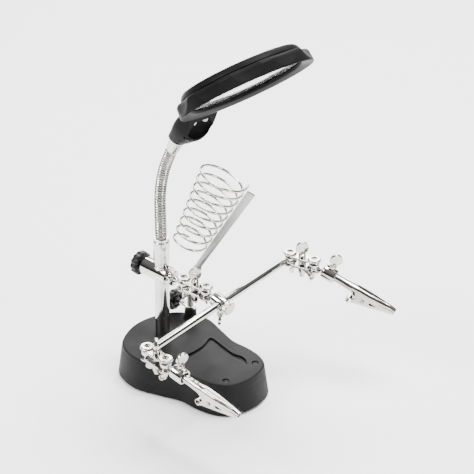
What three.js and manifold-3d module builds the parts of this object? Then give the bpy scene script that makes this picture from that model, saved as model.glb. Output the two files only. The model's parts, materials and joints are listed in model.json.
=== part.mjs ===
// A soldering helping-hands station, in millimetres, +Z up.
// The origin is on the table, under the middle of the base's long axis. +X points towards the
// tray lobe, which faces the user, and +Y is the user's right-hand side seen from behind the post.
import * as THREE from 'three';
import { mergeVertices } from 'three/addons/utils/BufferGeometryUtils.js';
import Module from 'manifold-3d';

const wasm = await Module();
wasm.setup();

// ---------------------------------------------------------------- driving dimensions
const PAD_THICKNESS = 1.2;
const UNDERSIDE = 1.5;           // underside of the shell and its bottom plate
const BASE_TOP = 28.9;
const BASE_FLARE = 3.9;          // how far the wall spreads from the top edge to the bottom
const BASE_WALL = 2.8;
const BASE_ROOF = 4.3;
const TRAY_DEPTH = 2;
const PLATE_THICKNESS = 1.8;
const GAP = 0.3;                 // clearance between pieces that touch
const OUTLINE_STEPS = 48;

const POST = { x: -37, r: 6.1, footR: 4.5, top: 95.5 };
const BOSS = { x: -37.5, y: 34.4, footR: 6, topR: 4.8, height: 12.8, boreR: 3, screwAt: 10 };
const COLLAR_Z = 88;
const COLLAR = { r: 7.8, back: -18, front: 9, holeR: 6.4 };
const BALL_R = 4.6;
const STUD_R = 1.5;              // neck of the stud where it leaves the clamp plates
const BALL_SPACING = 23;         // between the two balls of a double-ball clamp
const STUD_REACH = 25;           // from the post's axis to the collar's ball
const SLEEVE = { r: 6, from: 8.2, to: 21.8, rodAt: 17.5, holeR: 3.6 };
const SLEEVE_KNOB = { r: 6, from: 22.4, faceAt: 26.6, end: 27.8, ribs: 22 };
const ROD = { r: 3.3, left: 85.5, right: 83 };
const SOCKET = { r: 6.1, from: 8.5, to: 20.5, boreR: 4.1, boreFrom: 12, screwAt: 14.6 };
const CLIP = { start: 20.8, length: 57, barrelR: 3.7, pivotX: 28.8, pivotZ: -4.8, tipHalf: 2.2 };

// headings: yaw turns left about +Z, pitch lifts the nose
const HEADING = {
  centreClamp: { yaw: 5, pitch: 0 },
  sleeve: { yaw: 0, pitch: -12 },
  rodRoll: 5.2,
  leftClamp: { yaw: -8, pitch: 0 },
  rightClamp: { yaw: 11, pitch: 0 },
  leftClip: { yaw: 1.5, pitch: -11.5 },
  rightClip: { yaw: 19, pitch: -22 },
};

// how far round each wing nut, bolt head and thumbscrew was left when it was last done up
const TURN = {
  centre: { wing: 30, head: 45 },
  left: { wing: -8, head: -40, screw: 80 },
  right: { wing: -7, head: 40, screw: 30 },
  sleeveScrew: 48,
};

const HOLDER = {
  stemR: 2.7, bendZ: 66, lean: 32.9, azimuth: 39.6, strip: 98,
  foot: 4.8, width: 7.4, thickness: 2.2, touchAt: 27,
};
const COIL = { turns: 8.75, wireR: 1.05, bottomR: 13.4, topR: 20.6, length: 74, lean: 25.2 };
const BOSS_KNOB = { r: 9.4, thickness: 7, screwR: 1.8, faceAt: -15.5 };
const COLLAR_KNOB = { r: 10.4, thickness: 7.5, screwR: 2.6, faceAt: -20.5 };
const NECK = { hoseR: 4.9, ferruleR: 6.7, ferruleTop: 121.5, flareR: 6.3, flareEnd: 18 };
// the magnifier's centre lies in the plane of the ring's lower rim
const RING = { centre: [57.6, 0, 286.7], tilt: 40, roll: -5.4, r: 56, height: 12, openR: 45.6, seatZ: 4.8 };

// ---------------------------------------------------------------- materials
const finish = (color, roughness, metalness) => () =>
  new THREE.MeshStandardMaterial({ color, roughness, metalness });
const chrome = finish(0xd4d6d8, 0.15, 1);
const nickel = finish(0xc2c4c6, 0.3, 1);
const steel = finish(0x9a9c9f, 0.4, 1);
const castIron = finish(0x4a4846, 0.7, 0.6);
const blackSatin = finish(0x1c1c1e, 0.5, 0);
const blackGloss = finish(0x101012, 0.2, 0);
const rubber = finish(0x161616, 0.9, 0);
const clearGlass = finish(0xe8f0f2, 0.05, 0);
const ledLens = finish(0xf6f6f0, 0.2, 0);
const cellWrap = finish(0x2f6f4f, 0.4, 0.2);

// ---------------------------------------------------------------- solids and booleans
function solidOf(geometry) {
  const bare = geometry.clone();
  bare.deleteAttribute('normal');
  bare.deleteAttribute('uv');
  const merged = mergeVertices(bare, 1e-4);
  const index = [...merged.index.array];
  const kept = [];
  for (let i = 0; i < index.length; i += 3) {
    const [a, b, c] = index.slice(i, i + 3);
    if (a !== b && b !== c && c !== a) kept.push(a, b, c);
  }
  return new wasm.Manifold(new wasm.Mesh({
    numProp: 3,
    vertProperties: new Float32Array(merged.attributes.position.array),
    triVerts: new Uint32Array(kept),
  }));
}

function geometryOf(solid) {
  const { vertProperties, triVerts } = solid.getMesh();
  const geometry = new THREE.BufferGeometry();
  geometry.setAttribute('position', new THREE.BufferAttribute(new Float32Array(vertProperties), 3));
  geometry.setIndex(new THREE.BufferAttribute(new Uint32Array(triVerts), 1));
  geometry.computeVertexNormals();
  return geometry;
}

function join(...pieces) {
  return geometryOf(pieces.map(solidOf).reduce((all, one) => all.add(one)));
}

function cut(body, ...tools) {
  return geometryOf(tools.map(solidOf).reduce((left, tool) => left.subtract(tool), solidOf(body)));
}

function common(a, b) {
  return geometryOf(solidOf(a).intersect(solidOf(b)));
}

// ---------------------------------------------------------------- shapes
const RAD = Math.PI / 180;
const AXIS = {
  x: new THREE.Vector3(1, 0, 0),
  y: new THREE.Vector3(0, 1, 0),
  z: new THREE.Vector3(0, 0, 1),
};

// A profile of [radius, height] pairs turned round +Z, then laid along the axis asked for.
function turned(profile, segments = 20, along = 'z') {
  const points = profile.map(([r, z]) => new THREE.Vector2(r, z));
  const geometry = new THREE.LatheGeometry(points, segments).rotateX(90 * RAD);
  const turn = new THREE.Quaternion().setFromUnitVectors(AXIS.z, AXIS[along]);
  return geometry.applyQuaternion(turn);
}

function rod(r, from, to, along = 'z', segments = 20) {
  return turned([[0, from], [r, from], [r, to], [0, to]], segments, along);
}

function ballAt(r, segments = 12, rings = 6) {
  const points = [];
  for (let i = 0; i <= rings; i += 1) {
    const angle = -90 * RAD + (i / rings) * Math.PI;
    points.push([i % rings === 0 ? 0 : r * Math.cos(angle), r * Math.sin(angle)]);
  }
  return turned(points, segments);
}

function box(x0, x1, y0, y1, z0, z1) {
  const geometry = new THREE.BoxGeometry(x1 - x0, y1 - y0, z1 - z0);
  return geometry.translate((x0 + x1) / 2, (y0 + y1) / 2, (z0 + z1) / 2);
}

function extruded(shape, depth, curveSegments = 10) {
  return new THREE.ExtrudeGeometry(shape, { depth, bevelEnabled: false, curveSegments });
}

function stadium(length, width) {
  const r = width / 2;
  const shape = new THREE.Shape();
  shape.moveTo(0, -r);
  shape.lineTo(length, -r);
  shape.absarc(length, 0, r, -90 * RAD, 90 * RAD);
  shape.lineTo(0, r);
  shape.absarc(0, 0, r, 90 * RAD, 270 * RAD);
  return shape;
}

// A closed solid through rings of [x, y, z] points; the caps are filled as seen along the axis named.
function lofted(rings, capAxis = 'z') {
  const count = rings[0].length;
  const positions = rings.flat(2);
  const index = [];
  for (let i = 0; i + 1 < rings.length; i += 1) {
    for (let j = 0; j < count; j += 1) {
      const a = i * count + j;
      const b = i * count + ((j + 1) % count);
      index.push(a, b, b + count, a, b + count, a + count);
    }
  }
  const flat = ([x, y, z]) => (capAxis === 'z' ? new THREE.Vector2(x, y) : new THREE.Vector2(y, z));
  const cap = (ring) => THREE.ShapeUtils.triangulateShape(ring.map(flat), []);
  const top = (rings.length - 1) * count;
  cap(rings[0]).forEach(([a, b, c]) => index.push(a, c, b));
  cap(rings.at(-1)).forEach(([a, b, c]) => index.push(top + a, top + b, top + c));
  const geometry = new THREE.BufferGeometry();
  geometry.setAttribute('position', new THREE.Float32BufferAttribute(positions, 3));
  geometry.setIndex(index);
  return geometry;
}

// ---------------------------------------------------------------- scene graph helpers
const group = new THREE.Group();

function add(parent, name, geometry, material) {
  const mesh = new THREE.Mesh(geometry, material());
  mesh.name = name;
  parent.add(mesh);
  return mesh;
}

function frameAt(parent, position, { yaw = 0, pitch = 0 } = {}) {
  const frame = new THREE.Group();
  frame.position.set(...position);
  frame.rotation.order = 'ZYX';
  frame.rotation.set(0, -pitch * RAD, yaw * RAD);
  parent.add(frame);
  return frame;
}

const headingVector = ({ yaw, pitch }) => new THREE.Vector3(
  Math.cos(pitch * RAD) * Math.cos(yaw * RAD),
  Math.cos(pitch * RAD) * Math.sin(yaw * RAD),
  Math.sin(pitch * RAD),
);
const along = (start, direction, distance) => start.clone().addScaledVector(direction, distance);
const xyz = (v) => [v.x, v.y, v.z];

// ---------------------------------------------------------------- base
// Half of the base's top outline, back to front; the other half mirrors it.
const HALF_OUTLINE = [
  [-64.5, 0], [-61.6, 16], [-53, 32], [-39, 40.6], [-23, 42.4], [-4, 36.6],
  [14, 31.2], [31, 31], [46, 28.4], [58, 20], [63.2, 0],
];
// Half of the tray's outline: a round front, a waist, two ears and a back that bows forward.
const HALF_TRAY = [
  [0.5, 0], [-0.5, 10], [-3.4, 18], [-3.6, 22], [1, 23], [11, 20.6],
  [27, 17.4], [36, 18.8], [44, 16], [50, 8.6], [52, 0],
];

function outline(half, offset, steps) {
  const mirrored = half.slice(1, -1).reverse().map(([x, y]) => [x, -y]);
  const points = [...half, ...mirrored].map(([x, y]) => new THREE.Vector3(x, y, 0)).reverse();
  const curve = new THREE.CatmullRomCurve3(points, true, 'centripetal');
  return curve.getSpacedPoints(steps).slice(0, steps).map((point, i) => {
    const tangent = curve.getTangentAt(i / steps);
    return [point.x + tangent.y * offset, point.y - tangent.x * offset];
  });
}

const ringAt = (half, offset, z) => outline(half, offset, OUTLINE_STEPS).map(([x, y]) => [x, y, z]);
const baseLoft = (layers) => lofted(layers.map(([z, offset]) => ringAt(HALF_OUTLINE, offset, z)));

const SCREW_SPOTS = [[50.5, 18], [50.5, -18]];
const CELL_Y = [-6, 6];
const CELL = { from: 8.5, r: 5.2, length: 44.5, z: 10.5 };
const WELL = { x0: 6, x1: 56, y: 13.5, top: 18, wall: 1.5 };

function baseShell() {
  const skirt = UNDERSIDE + 2.6;
  const outer = baseLoft([
    [UNDERSIDE, BASE_FLARE], [skirt, BASE_FLARE - 0.3], [BASE_TOP - 2.2, 0.35],
    [BASE_TOP - 0.7, -0.2], [BASE_TOP, -1.1],
  ]);
  const hollow = baseLoft([
    [UNDERSIDE - 1, BASE_FLARE - BASE_WALL], [skirt, BASE_FLARE - BASE_WALL],
    [BASE_TOP - BASE_ROOF, 0.3 - BASE_WALL],
  ]);
  const floorZ = BASE_TOP - TRAY_DEPTH;
  const tray = lofted([ringAt(HALF_TRAY, -0.9, floorZ), ringAt(HALF_TRAY, 0, BASE_TOP + 0.1)]);
  const screwHoles = SCREW_SPOTS.flatMap(([x, y]) => [
    rod(3, BASE_TOP - 2.4, BASE_TOP + 1, 'z', 16).translate(x, y, 0),
    rod(1.7, BASE_TOP - 6, BASE_TOP, 'z', 12).translate(x, y, 0),
  ]);
  const postHole = rod(4.8, BASE_TOP - 6, BASE_TOP + 1).translate(POST.x, 0, 0);
  const { x, y, boreR, screwAt } = BOSS;
  const bossBore = rod(boreR, BASE_TOP + 1.3, BASE_TOP + BOSS.height + 1, 'z', 16).translate(x, y, 0);
  const bossThread = rod(2.1, x - 10, x, 'x', 12).translate(0, y, BASE_TOP + screwAt);
  return cut(join(outer, holderBoss()), hollow, tray, postHole, bossBore, bossThread, ...screwHoles);
}

const wellRoom = (grow, z0, z1) => {
  const { x0, x1, y } = WELL;
  return box(x0 - grow, x1 + grow, -y - grow, y + grow, z0, z1);
};

function basePlate() {
  const inset = BASE_FLARE - BASE_WALL - GAP;
  const top = UNDERSIDE + PLATE_THICKNESS;
  const plate = baseLoft([[UNDERSIDE, inset], [top, inset]]);
  const pillars = SCREW_SPOTS.map(([x, y]) =>
    rod(3.6, top - 0.5, BASE_TOP - BASE_ROOF - GAP, 'z', 14).translate(x, y, 0));
  const well = wellRoom(WELL.wall, top - 0.5, WELL.top + WELL.wall);
  const bores = SCREW_SPOTS.map(([x, y]) => rod(1.7, 13, BASE_TOP, 'z', 12).translate(x, y, 0));
  return cut(join(plate, well, ...pillars), wellRoom(0, 0, WELL.top), ...bores);
}

function ballast() {
  const slab = baseLoft([[UNDERSIDE + PLATE_THICKNESS + GAP, -4.5], [15.5, -4.5]]);
  const back = box(-70, 2, -50, 50, 0, 30);
  return cut(common(slab, back), rod(7.5, 0, 30).translate(POST.x, 0, 0));
}

function footPad() {
  const pad = baseLoft([[0, BASE_FLARE - 2.4], [0.4, BASE_FLARE - 1.8], [PAD_THICKNESS, BASE_FLARE - 1.8]]);
  return cut(pad, wellRoom(1, -1, 3));
}

function batteryCell(y) {
  const { r, length, from, z } = CELL;
  const can = turned([
    [0, 0], [r, 0], [r, length - 2], [1.8, length - 1.4], [1.8, length], [0, length],
  ], 14, 'x');
  return can.translate(from, y, z);
}

function baseScrew(x, y) {
  const seat = BASE_TOP - 2.4 + GAP;
  const screw = turned([
    [0, 14], [1.4, 15], [1.4, seat], [2.7, seat], [2.4, seat + 1.3], [0, seat + 1.7],
  ], 14);
  const slot = box(-2, 2, -0.35, 0.35, seat + 0.7, BASE_TOP);
  const crossSlot = slot.clone().rotateZ(90 * RAD);
  return cut(screw, slot, crossSlot).translate(x, y, 0);
}

function post() {
  const { r, footR, top, x } = POST;
  const foot = BASE_TOP + GAP;
  return turned([
    [0, 11], [footR, 11], [footR, foot], [r, foot], [r, top - 1], [r - 1, top], [0, top],
  ], 24).translate(x, 0, 0);
}

// The tapering socket for the iron holder, moulded in one piece with the shell.
function holderBoss() {
  const { x, y, footR, topR, height } = BOSS;
  const top = BASE_TOP + height;
  return turned([
    [0, BASE_TOP - 1], [footR, BASE_TOP - 1], [footR, BASE_TOP + 1], [footR - 0.9, BASE_TOP + 2.4],
    [topR + 0.2, BASE_TOP + 4.6], [topR, top - 0.6], [topR - 0.6, top], [0, top],
  ], 20).translate(x, y, 0);
}

function addBase() {
  add(group, 'base_shell', baseShell(), blackSatin);
  add(group, 'base_plate', basePlate(), blackSatin);
  add(group, 'ballast_weight', ballast(), castIron);
  add(group, 'foot_pad', footPad(), rubber);
  const door = wellRoom(-GAP, UNDERSIDE, UNDERSIDE + PLATE_THICKNESS);
  add(group, 'battery_door', door, blackSatin);
  CELL_Y.forEach((y, i) => add(group, `battery_cell_${i + 1}`, batteryCell(y), cellWrap));
  SCREW_SPOTS.forEach(([x, y], i) => add(group, `base_screw_${i + 1}`, baseScrew(x, y), steel));
  add(group, 'post', post(), chrome);
}

// ---------------------------------------------------------------- knobs, thumbscrews and wing nuts
// A black lobed knob with its screw moulded in. The screw runs along +X to its tip and the knob is behind it.
function lobedKnob({ r: radius, thickness, screwR, faceAt }, tip) {
  const lobes = 12;
  const steps = 60;
  const shape = new THREE.Shape(Array.from({ length: steps }, (_, i) => {
    const angle = (i / steps) * 2 * Math.PI;
    const r = radius - 0.75 + 0.75 * Math.cos(lobes * angle);
    return new THREE.Vector2(r * Math.cos(angle), r * Math.sin(angle));
  }));
  const disc = extruded(shape, thickness).rotateY(90 * RAD).translate(-thickness, 0, 0);
  const hub = rod(radius * 0.5, -0.5, 1.2, 'x', 18);
  return join(disc, hub, rod(screwR, -1, tip - faceAt, 'x', 14)).translate(faceAt, 0, 0);
}

// A thumbscrew with a flat round head; the screw's tip is at z = 0 and the head stands up along +Z.
function spadeScrew(screwR, shank, discR, turn = 0) {
  const neck = turned([
    [0, 0], [screwR, 0], [screwR, shank], [screwR + 0.9, shank], [screwR + 0.9, shank + 2],
    [1.5, shank + 3.6], [0, shank + 3.6],
  ], 14);
  const disc = rod(discR, -1.2, 1.2, 'y', 16).translate(0, 0, shank + 3 + discR * 0.92);
  return join(neck, disc).rotateZ(turn * RAD);
}

// A wing nut hanging below z = 0, with two blades that slope outwards.
function wingNut(span) {
  const hub = turned([[0, -6.4], [2.6, -6.4], [3.9, 0], [0, 0]], 16);
  const blade = (side) => {
    const shape = new THREE.Shape();
    shape.moveTo(1, -1);
    shape.lineTo(span * 0.62, -2.4);
    shape.quadraticCurveTo(span * 1.02, -3.4, span, -7);
    shape.quadraticCurveTo(span * 0.9, -10.6, span * 0.66, -9.4);
    shape.quadraticCurveTo(span * 0.4, -6.2, 1, -5.8);
    shape.closePath();
    return extruded(shape, 1.8, 4).rotateX(90 * RAD).translate(0, 0.9, 0).rotateZ(side * Math.PI);
  };
  return join(hub, blade(0), blade(1));
}

// ---------------------------------------------------------------- double-ball clamps
const CLAMP = { width: 11.8, inner: 2.8, thickness: 2, dimple: 1.5, boltR: 2 };

// Each end is pressed outwards over its ball and flares inside, so that a stud can tilt by 22 degrees.
function clampPlate() {
  const { width, inner, thickness, dimple, boltR } = CLAMP;
  const rim = inner + thickness;
  const slab = extruded(stadium(BALL_SPACING, width), thickness, 5).translate(0, 0, inner);
  const ends = [0, BALL_SPACING];
  const bumps = ends.map((x) => turned([
    [0, rim - 0.5], [5.4, rim - 0.5], [5.2, rim + 0.4], [3.6, rim + dimple], [0, rim + dimple],
  ], 12).translate(x, 0, 0));
  const seats = ends.map((x) => turned([
    [0, -1], [6.1, -1], [6.1, 4.35], [3.7, 3.37], [2.2, 4.5], [2.2, 9], [0, 9],
  ], 12).translate(x, 0, 0));
  const boltHole = rod(boltR + 0.3, 0, 9, 'z', 8).translate(BALL_SPACING / 2, 0, 0);
  return cut(join(slab, ...bumps), ...seats, boltHole);
}

function addClamp(frame, name, { wing: wingTurn, head: headTurn }) {
  const middle = BALL_SPACING / 2;
  add(frame, `${name}_upper_plate`, clampPlate(), nickel);
  add(frame, `${name}_lower_plate`, clampPlate().rotateX(Math.PI), nickel);
  const head = CLAMP.inner + CLAMP.thickness + 0.2;
  const bolt = spadeScrew(CLAMP.boltR, head + 14, 5.4, headTurn).translate(middle, 0, -14);
  add(frame, `${name}_bolt`, bolt, nickel);
  const wing = cut(wingNut(11), rod(CLAMP.boltR + GAP, -20, 5, 'z', 12));
  wing.rotateZ(wingTurn * RAD).translate(middle, 0, -CLAMP.inner - CLAMP.thickness - 0.4);
  add(frame, `${name}_wing_nut`, wing, nickel);
}

// ---------------------------------------------------------------- collar, sleeve and cross rod
const collarAt = new THREE.Vector3(POST.x, 0, COLLAR_Z);

function collarClamp() {
  const { r, back, front } = COLLAR;
  const reach = STUD_REACH - BALL_R - GAP;
  const body = turned([
    [0, back], [r - 0.6, back], [r, back + 0.7], [r, front - 0.7], [r - 0.7, front], [3.6, front],
    [3, front + 3.4], [6.4, front + 3.6], [6.4, front + 5.6], [2.6, front + 6.2], [STUD_R, 17.5],
    [STUD_R, reach], [0, reach],
  ], 18, 'x');
  const thread = rod(2.9, back - 1, -5, 'x', 12);
  return cut(body, rod(COLLAR.holeR, -12, 12, 'z', 18), thread);
}

function addCollar() {
  const frame = frameAt(group, xyz(collarAt));
  add(frame, 'collar_clamp', collarClamp(), chrome);
  add(frame, 'collar_knob', lobedKnob(COLLAR_KNOB, -POST.r - GAP), blackSatin);
}

function rodSleeve() {
  const start = BALL_R + GAP;
  const body = turned([
    [0, start], [STUD_R, start], [STUD_R, 7.2], [SLEEVE.r - 1, SLEEVE.from + 0.4],
    [SLEEVE.r, SLEEVE.from + 1.6], [SLEEVE.r, SLEEVE.to - 0.5], [SLEEVE.r - 0.5, SLEEVE.to],
    [0, SLEEVE.to],
  ], 22, 'x');
  const rodHole = rod(SLEEVE.holeR, -9, 9, 'y', 20).translate(SLEEVE.rodAt, 0, 0);
  const knobThread = rod(2.3, SLEEVE.rodAt, SLEEVE.to + 1, 'x', 12);
  const screwThread = rod(2.1, -9, 0, 'z', 12).translate(SLEEVE.rodAt, 0, 0);
  return cut(body, rodHole, knobThread, screwThread);
}

function knurledKnob() {
  const { r, from, faceAt, end, ribs } = SLEEVE_KNOB;
  const shape = new THREE.Shape(Array.from({ length: ribs * 2 }, (_, i) => {
    const angle = (i / ribs) * Math.PI;
    const reach = i % 2 ? r - 0.4 : r;
    return new THREE.Vector2(reach * Math.cos(angle), reach * Math.sin(angle));
  }));
  const knob = extruded(shape, faceAt - from).rotateY(90 * RAD).translate(from, 0, 0);
  const cap = rod(r - 0.9, faceAt - 0.5, end, 'x', 22);
  return join(knob, cap, rod(2, SLEEVE.rodAt + ROD.r + 0.6, from + 1, 'x', 12));
}

const centreHeading = headingVector(HEADING.centreClamp);
const collarBall = along(collarAt, AXIS.x, STUD_REACH);
const sleeveBall = along(collarBall, centreHeading, BALL_SPACING);
const sleeveHeading = headingVector(HEADING.sleeve);
const rodCentre = along(sleeveBall, sleeveHeading, SLEEVE.rodAt);
const rodHeading = AXIS.y.clone().applyAxisAngle(sleeveHeading, HEADING.rodRoll * RAD);
const leftRodBall = along(rodCentre, rodHeading, -ROD.left);
const rightRodBall = along(rodCentre, rodHeading, ROD.right);

function addCentre() {
  add(frameAt(group, xyz(collarBall)), 'collar_ball', ballAt(BALL_R), chrome);
  addClamp(frameAt(group, xyz(collarBall), HEADING.centreClamp), 'centre', TURN.centre);
  const sleeveFrame = frameAt(group, xyz(sleeveBall), HEADING.sleeve);
  add(sleeveFrame, 'sleeve_ball', ballAt(BALL_R), chrome);
  // the sleeve and everything on it lean with the rod
  sleeveFrame.rotateX(HEADING.rodRoll * RAD);
  add(sleeveFrame, 'rod_sleeve', rodSleeve(), chrome);
  add(sleeveFrame, 'sleeve_knob', knurledKnob(), nickel);
  const screw = spadeScrew(1.9, 7, 4.8, TURN.sleeveScrew).rotateX(Math.PI);
  add(sleeveFrame, 'sleeve_screw', screw.translate(SLEEVE.rodAt, 0, -ROD.r - GAP), nickel);
  const reach = BALL_R + GAP;
  const bar = turned([
    [0, reach - ROD.left], [STUD_R, reach - ROD.left], [STUD_R, 8 - ROD.left], [ROD.r, 9.2 - ROD.left],
    [ROD.r, ROD.right - 9.2], [STUD_R, ROD.right - 8], [STUD_R, ROD.right - reach], [0, ROD.right - reach],
  ], 18, 'y').translate(SLEEVE.rodAt, 0, 0);
  add(sleeveFrame, 'cross_rod', bar, chrome);
}

// ---------------------------------------------------------------- clip sockets and alligator clips
function clipSocket() {
  const { r, from, to, boreR, boreFrom, screwAt } = SOCKET;
  const start = BALL_R + GAP;
  const body = turned([
    [0, start], [STUD_R, start], [STUD_R, from - 1], [r - 1, from], [r, from + 0.9], [r, to - 0.5],
    [r - 0.5, to], [0, to],
  ], 16, 'x');
  const bore = rod(boreR, boreFrom, to + 2, 'x', 14);
  return cut(body, bore, rod(2.1, 0, 9, 'z', 12).translate(screwAt, 0, 0));
}

// A plan outline that narrows evenly from a half width at the root to one at the tip.
function taperedPlan(from, root, rootHalf, tipHalf) {
  const tip = CLIP.length + 1;
  const shape = new THREE.Shape([
    [from, -rootHalf], [root, -rootHalf], [tip, -tipHalf], [tip, tipHalf], [root, rootHalf], [from, rootHalf],
  ].map(([x, y]) => new THREE.Vector2(x, y)));
  return extruded(shape, 30).translate(0, 0, -18);
}

const standing = (shape, half) => extruded(shape, 2 * half, 5).rotateX(90 * RAD).translate(0, half, 0);

// The clip runs along +X from its start; its pivot lies along Y below the barrel.
function clipUpper() {
  const { barrelR, length, pivotX, pivotZ, tipHalf } = CLIP;
  const barrel = rod(barrelR, -7.5, 21, 'x', 16);
  const shape = new THREE.Shape();
  shape.moveTo(15, 3.7);
  shape.quadraticCurveTo(20, 4.5, 26, 4.5);
  shape.lineTo(50, 4.3);
  shape.quadraticCurveTo(length - 0.6, 4, length, 2.6);
  shape.lineTo(length, 1);
  shape.lineTo(37, -0.2);
  shape.lineTo(34.5, -3);
  shape.lineTo(pivotX + 2.8, pivotZ - 2.4);
  shape.lineTo(pivotX - 2.6, pivotZ - 2.6);
  shape.lineTo(20.5, -3.7);
  shape.lineTo(15, -3);
  shape.closePath();
  const body = common(standing(shape, 4.2), taperedPlan(-8, 30, 4.2, tipHalf));
  // the jaw is a folded channel, open underneath
  const inside = join(box(22, 42, -3.1, 3.1, -12, 3.1), box(17, 23, -3.1, 3.1, -12, -3.3));
  const bore = rod(barrelR - 0.9, -9, 24, 'x', 14);
  const holes = [4, 8.4, 13].map((x) => rod(1, 0, 6, 'z', 8).translate(x, 0, 0));
  const pinHole = rod(1.35, -6, 6, 'y', 12).translate(pivotX, 0, pivotZ);
  return cut(join(body, barrel), inside, bore, pinHole, ...holes);
}

// The sprung jaw narrows to the tip in front and curls round into a finger loop behind.
function clipLower() {
  const { length, pivotX, pivotZ, tipHalf } = CLIP;
  const shape = new THREE.Shape();
  shape.moveTo(length, 0.7);
  shape.lineTo(37, -0.5);
  shape.lineTo(34, -2.4);
  shape.lineTo(24.5, -4.4);
  shape.lineTo(20.5, -8.6);
  shape.lineTo(17, -8.6);
  shape.quadraticCurveTo(14.6, -10, 14.8, -12.4);
  shape.quadraticCurveTo(16.4, -14.6, 19.4, -13.8);
  shape.lineTo(23, -11.2);
  shape.lineTo(35, -8);
  shape.lineTo(46, -4.6);
  shape.lineTo(length, -1.4);
  shape.closePath();
  const body = common(standing(shape, 2.7), taperedPlan(10, 36, 2.7, tipHalf - 0.2));
  const springRoom = box(pivotX - 5.4, pivotX + 5.4, -1.6, 1.6, -14, 0);
  const window = standing(new THREE.Shape([
    new THREE.Vector2(35.4, -5), new THREE.Vector2(41.5, -3), new THREE.Vector2(34.8, -3.1),
  ]), 3);
  const loop = rod(1.5, -3, 3, 'y', 12).translate(17.8, 0, -11.4);
  const pinHole = rod(1.35, -6, 6, 'y', 12).translate(pivotX, 0, pivotZ);
  return cut(body, springRoom, window, loop, pinHole);
}

function clipPin() {
  const pin = rod(1.1, -4.6, 4.6, 'y', 12);
  const heads = [-1, 1].map((s) => rod(1.9, s > 0 ? 4.4 : -5, s > 0 ? 5 : -4.4, 'y', 12));
  const coil = rod(2, -1.3, 1.3, 'y', 16);
  const legs = join(box(0, 5, -0.45, 0.45, 1.1, 1.9), box(-5, 0, -0.45, 0.45, 1.1, 1.9));
  return join(pin, ...heads, coil, legs).translate(CLIP.pivotX, 0, CLIP.pivotZ);
}

function addArm(side, rodBall, clampHeading, clipHeading, turns) {
  add(frameAt(group, xyz(rodBall)), `${side}_rod_ball`, ballAt(BALL_R), chrome);
  addClamp(frameAt(group, xyz(rodBall), clampHeading), side, turns);
  const socketBall = along(rodBall, headingVector(clampHeading), BALL_SPACING);
  const frame = frameAt(group, xyz(socketBall), clipHeading);
  add(frame, `${side}_socket_ball`, ballAt(BALL_R), chrome);
  add(frame, `${side}_clip_socket`, clipSocket(), chrome);
  const screw = spadeScrew(1.9, 3.6, 5.4, turns.screw).translate(SOCKET.screwAt, 0, CLIP.barrelR + GAP);
  add(frame, `${side}_socket_screw`, screw, nickel);
  const clip = frameAt(frame, [CLIP.start, 0, 0]);
  add(clip, `${side}_clip_upper_jaw`, clipUpper(), nickel);
  add(clip, `${side}_clip_lower_jaw`, clipLower(), nickel);
  add(clip, `${side}_clip_spring_pin`, clipPin(), steel);
}

// ---------------------------------------------------------------- iron holder
const leanVector = (lean) => new THREE.Vector3(
  Math.sin(lean * RAD) * Math.cos(HOLDER.azimuth * RAD),
  Math.sin(lean * RAD) * Math.sin(HOLDER.azimuth * RAD),
  Math.cos(lean * RAD),
);

// The coil's axis leans less than the strip, so the wire's right-hand side lies along the strip.
class CoilCurve extends THREE.Curve {
  getPoint(t) {
    const r = THREE.MathUtils.lerp(COIL.bottomR, COIL.topR, t);
    const angle = t * COIL.turns * 2 * Math.PI;
    return new THREE.Vector3(r * Math.cos(angle), r * Math.sin(angle), t * COIL.length);
  }
}

function wireSection(r, sides) {
  return new THREE.Shape(Array.from({ length: sides }, (_, i) => {
    const angle = (i / sides) * 2 * Math.PI;
    return new THREE.Vector2(r * Math.cos(angle), r * Math.sin(angle));
  }));
}

function addHolder() {
  const { stemR, bendZ, foot, width, thickness, strip, lean, azimuth, touchAt } = HOLDER;
  const stem = rod(stemR, BASE_TOP + 1.6, bendZ, 'z', 16);
  // the strip's outer edge is straight and its inner edge spreads towards the coil
  const outer = thickness / 2;
  const flat = extruded(new THREE.Shape([
    new THREE.Vector2(outer - foot, -3), new THREE.Vector2(outer, -3),
    new THREE.Vector2(outer, strip), new THREE.Vector2(outer - width, strip),
  ]), thickness).translate(0, 0, -thickness / 2).rotateX(90 * RAD);
  const turnToLean = new THREE.Matrix4().makeRotationZ(azimuth * RAD)
    .multiply(new THREE.Matrix4().makeRotationY(lean * RAD));
  flat.applyMatrix4(turnToLean).translate(0, 0, bendZ);
  const bar = join(stem, ballAt(stemR + 0.2, 14, 8).translate(0, 0, bendZ), flat);
  add(group, 'holder_bar', bar.translate(BOSS.x, BOSS.y, 0), steel);

  const steps = Math.round(COIL.turns * 12);
  const coil = new THREE.ExtrudeGeometry(wireSection(COIL.wireR, 5), {
    extrudePath: new CoilCurve(), steps, bevelEnabled: false,
  });
  const stripHeading = leanVector(lean);
  const coilHeading = leanVector(COIL.lean);
  const inward = along(coilHeading, stripHeading, -coilHeading.dot(stripHeading)).normalize();
  const touch = along(new THREE.Vector3(BOSS.x, BOSS.y, bendZ), stripHeading, touchAt);
  const innerEdge = foot + (width - foot) * (touchAt / strip) - outer;
  const start = along(touch, inward, COIL.bottomR + COIL.wireR + innerEdge + GAP + 0.35);
  const frame = frameAt(group, xyz(start));
  frame.rotation.set(0, 0, 0);
  frame.quaternion.setFromUnitVectors(AXIS.z, coilHeading);
  add(frame, 'holder_spring', coil, chrome);

  const knob = lobedKnob(BOSS_KNOB, -HOLDER.stemR - GAP);
  add(frameAt(group, [BOSS.x, BOSS.y, BASE_TOP + BOSS.screwAt]), 'boss_knob', knob, blackSatin);
}

// ---------------------------------------------------------------- gooseneck
// The hose is modelled as two stretches and a head that meet at two bending points.
const BENDS = [new THREE.Vector3(-37.4, 0, 160), new THREE.Vector3(-25, 0, 204)];
const FLARE_PITCH = 62.8;

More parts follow.
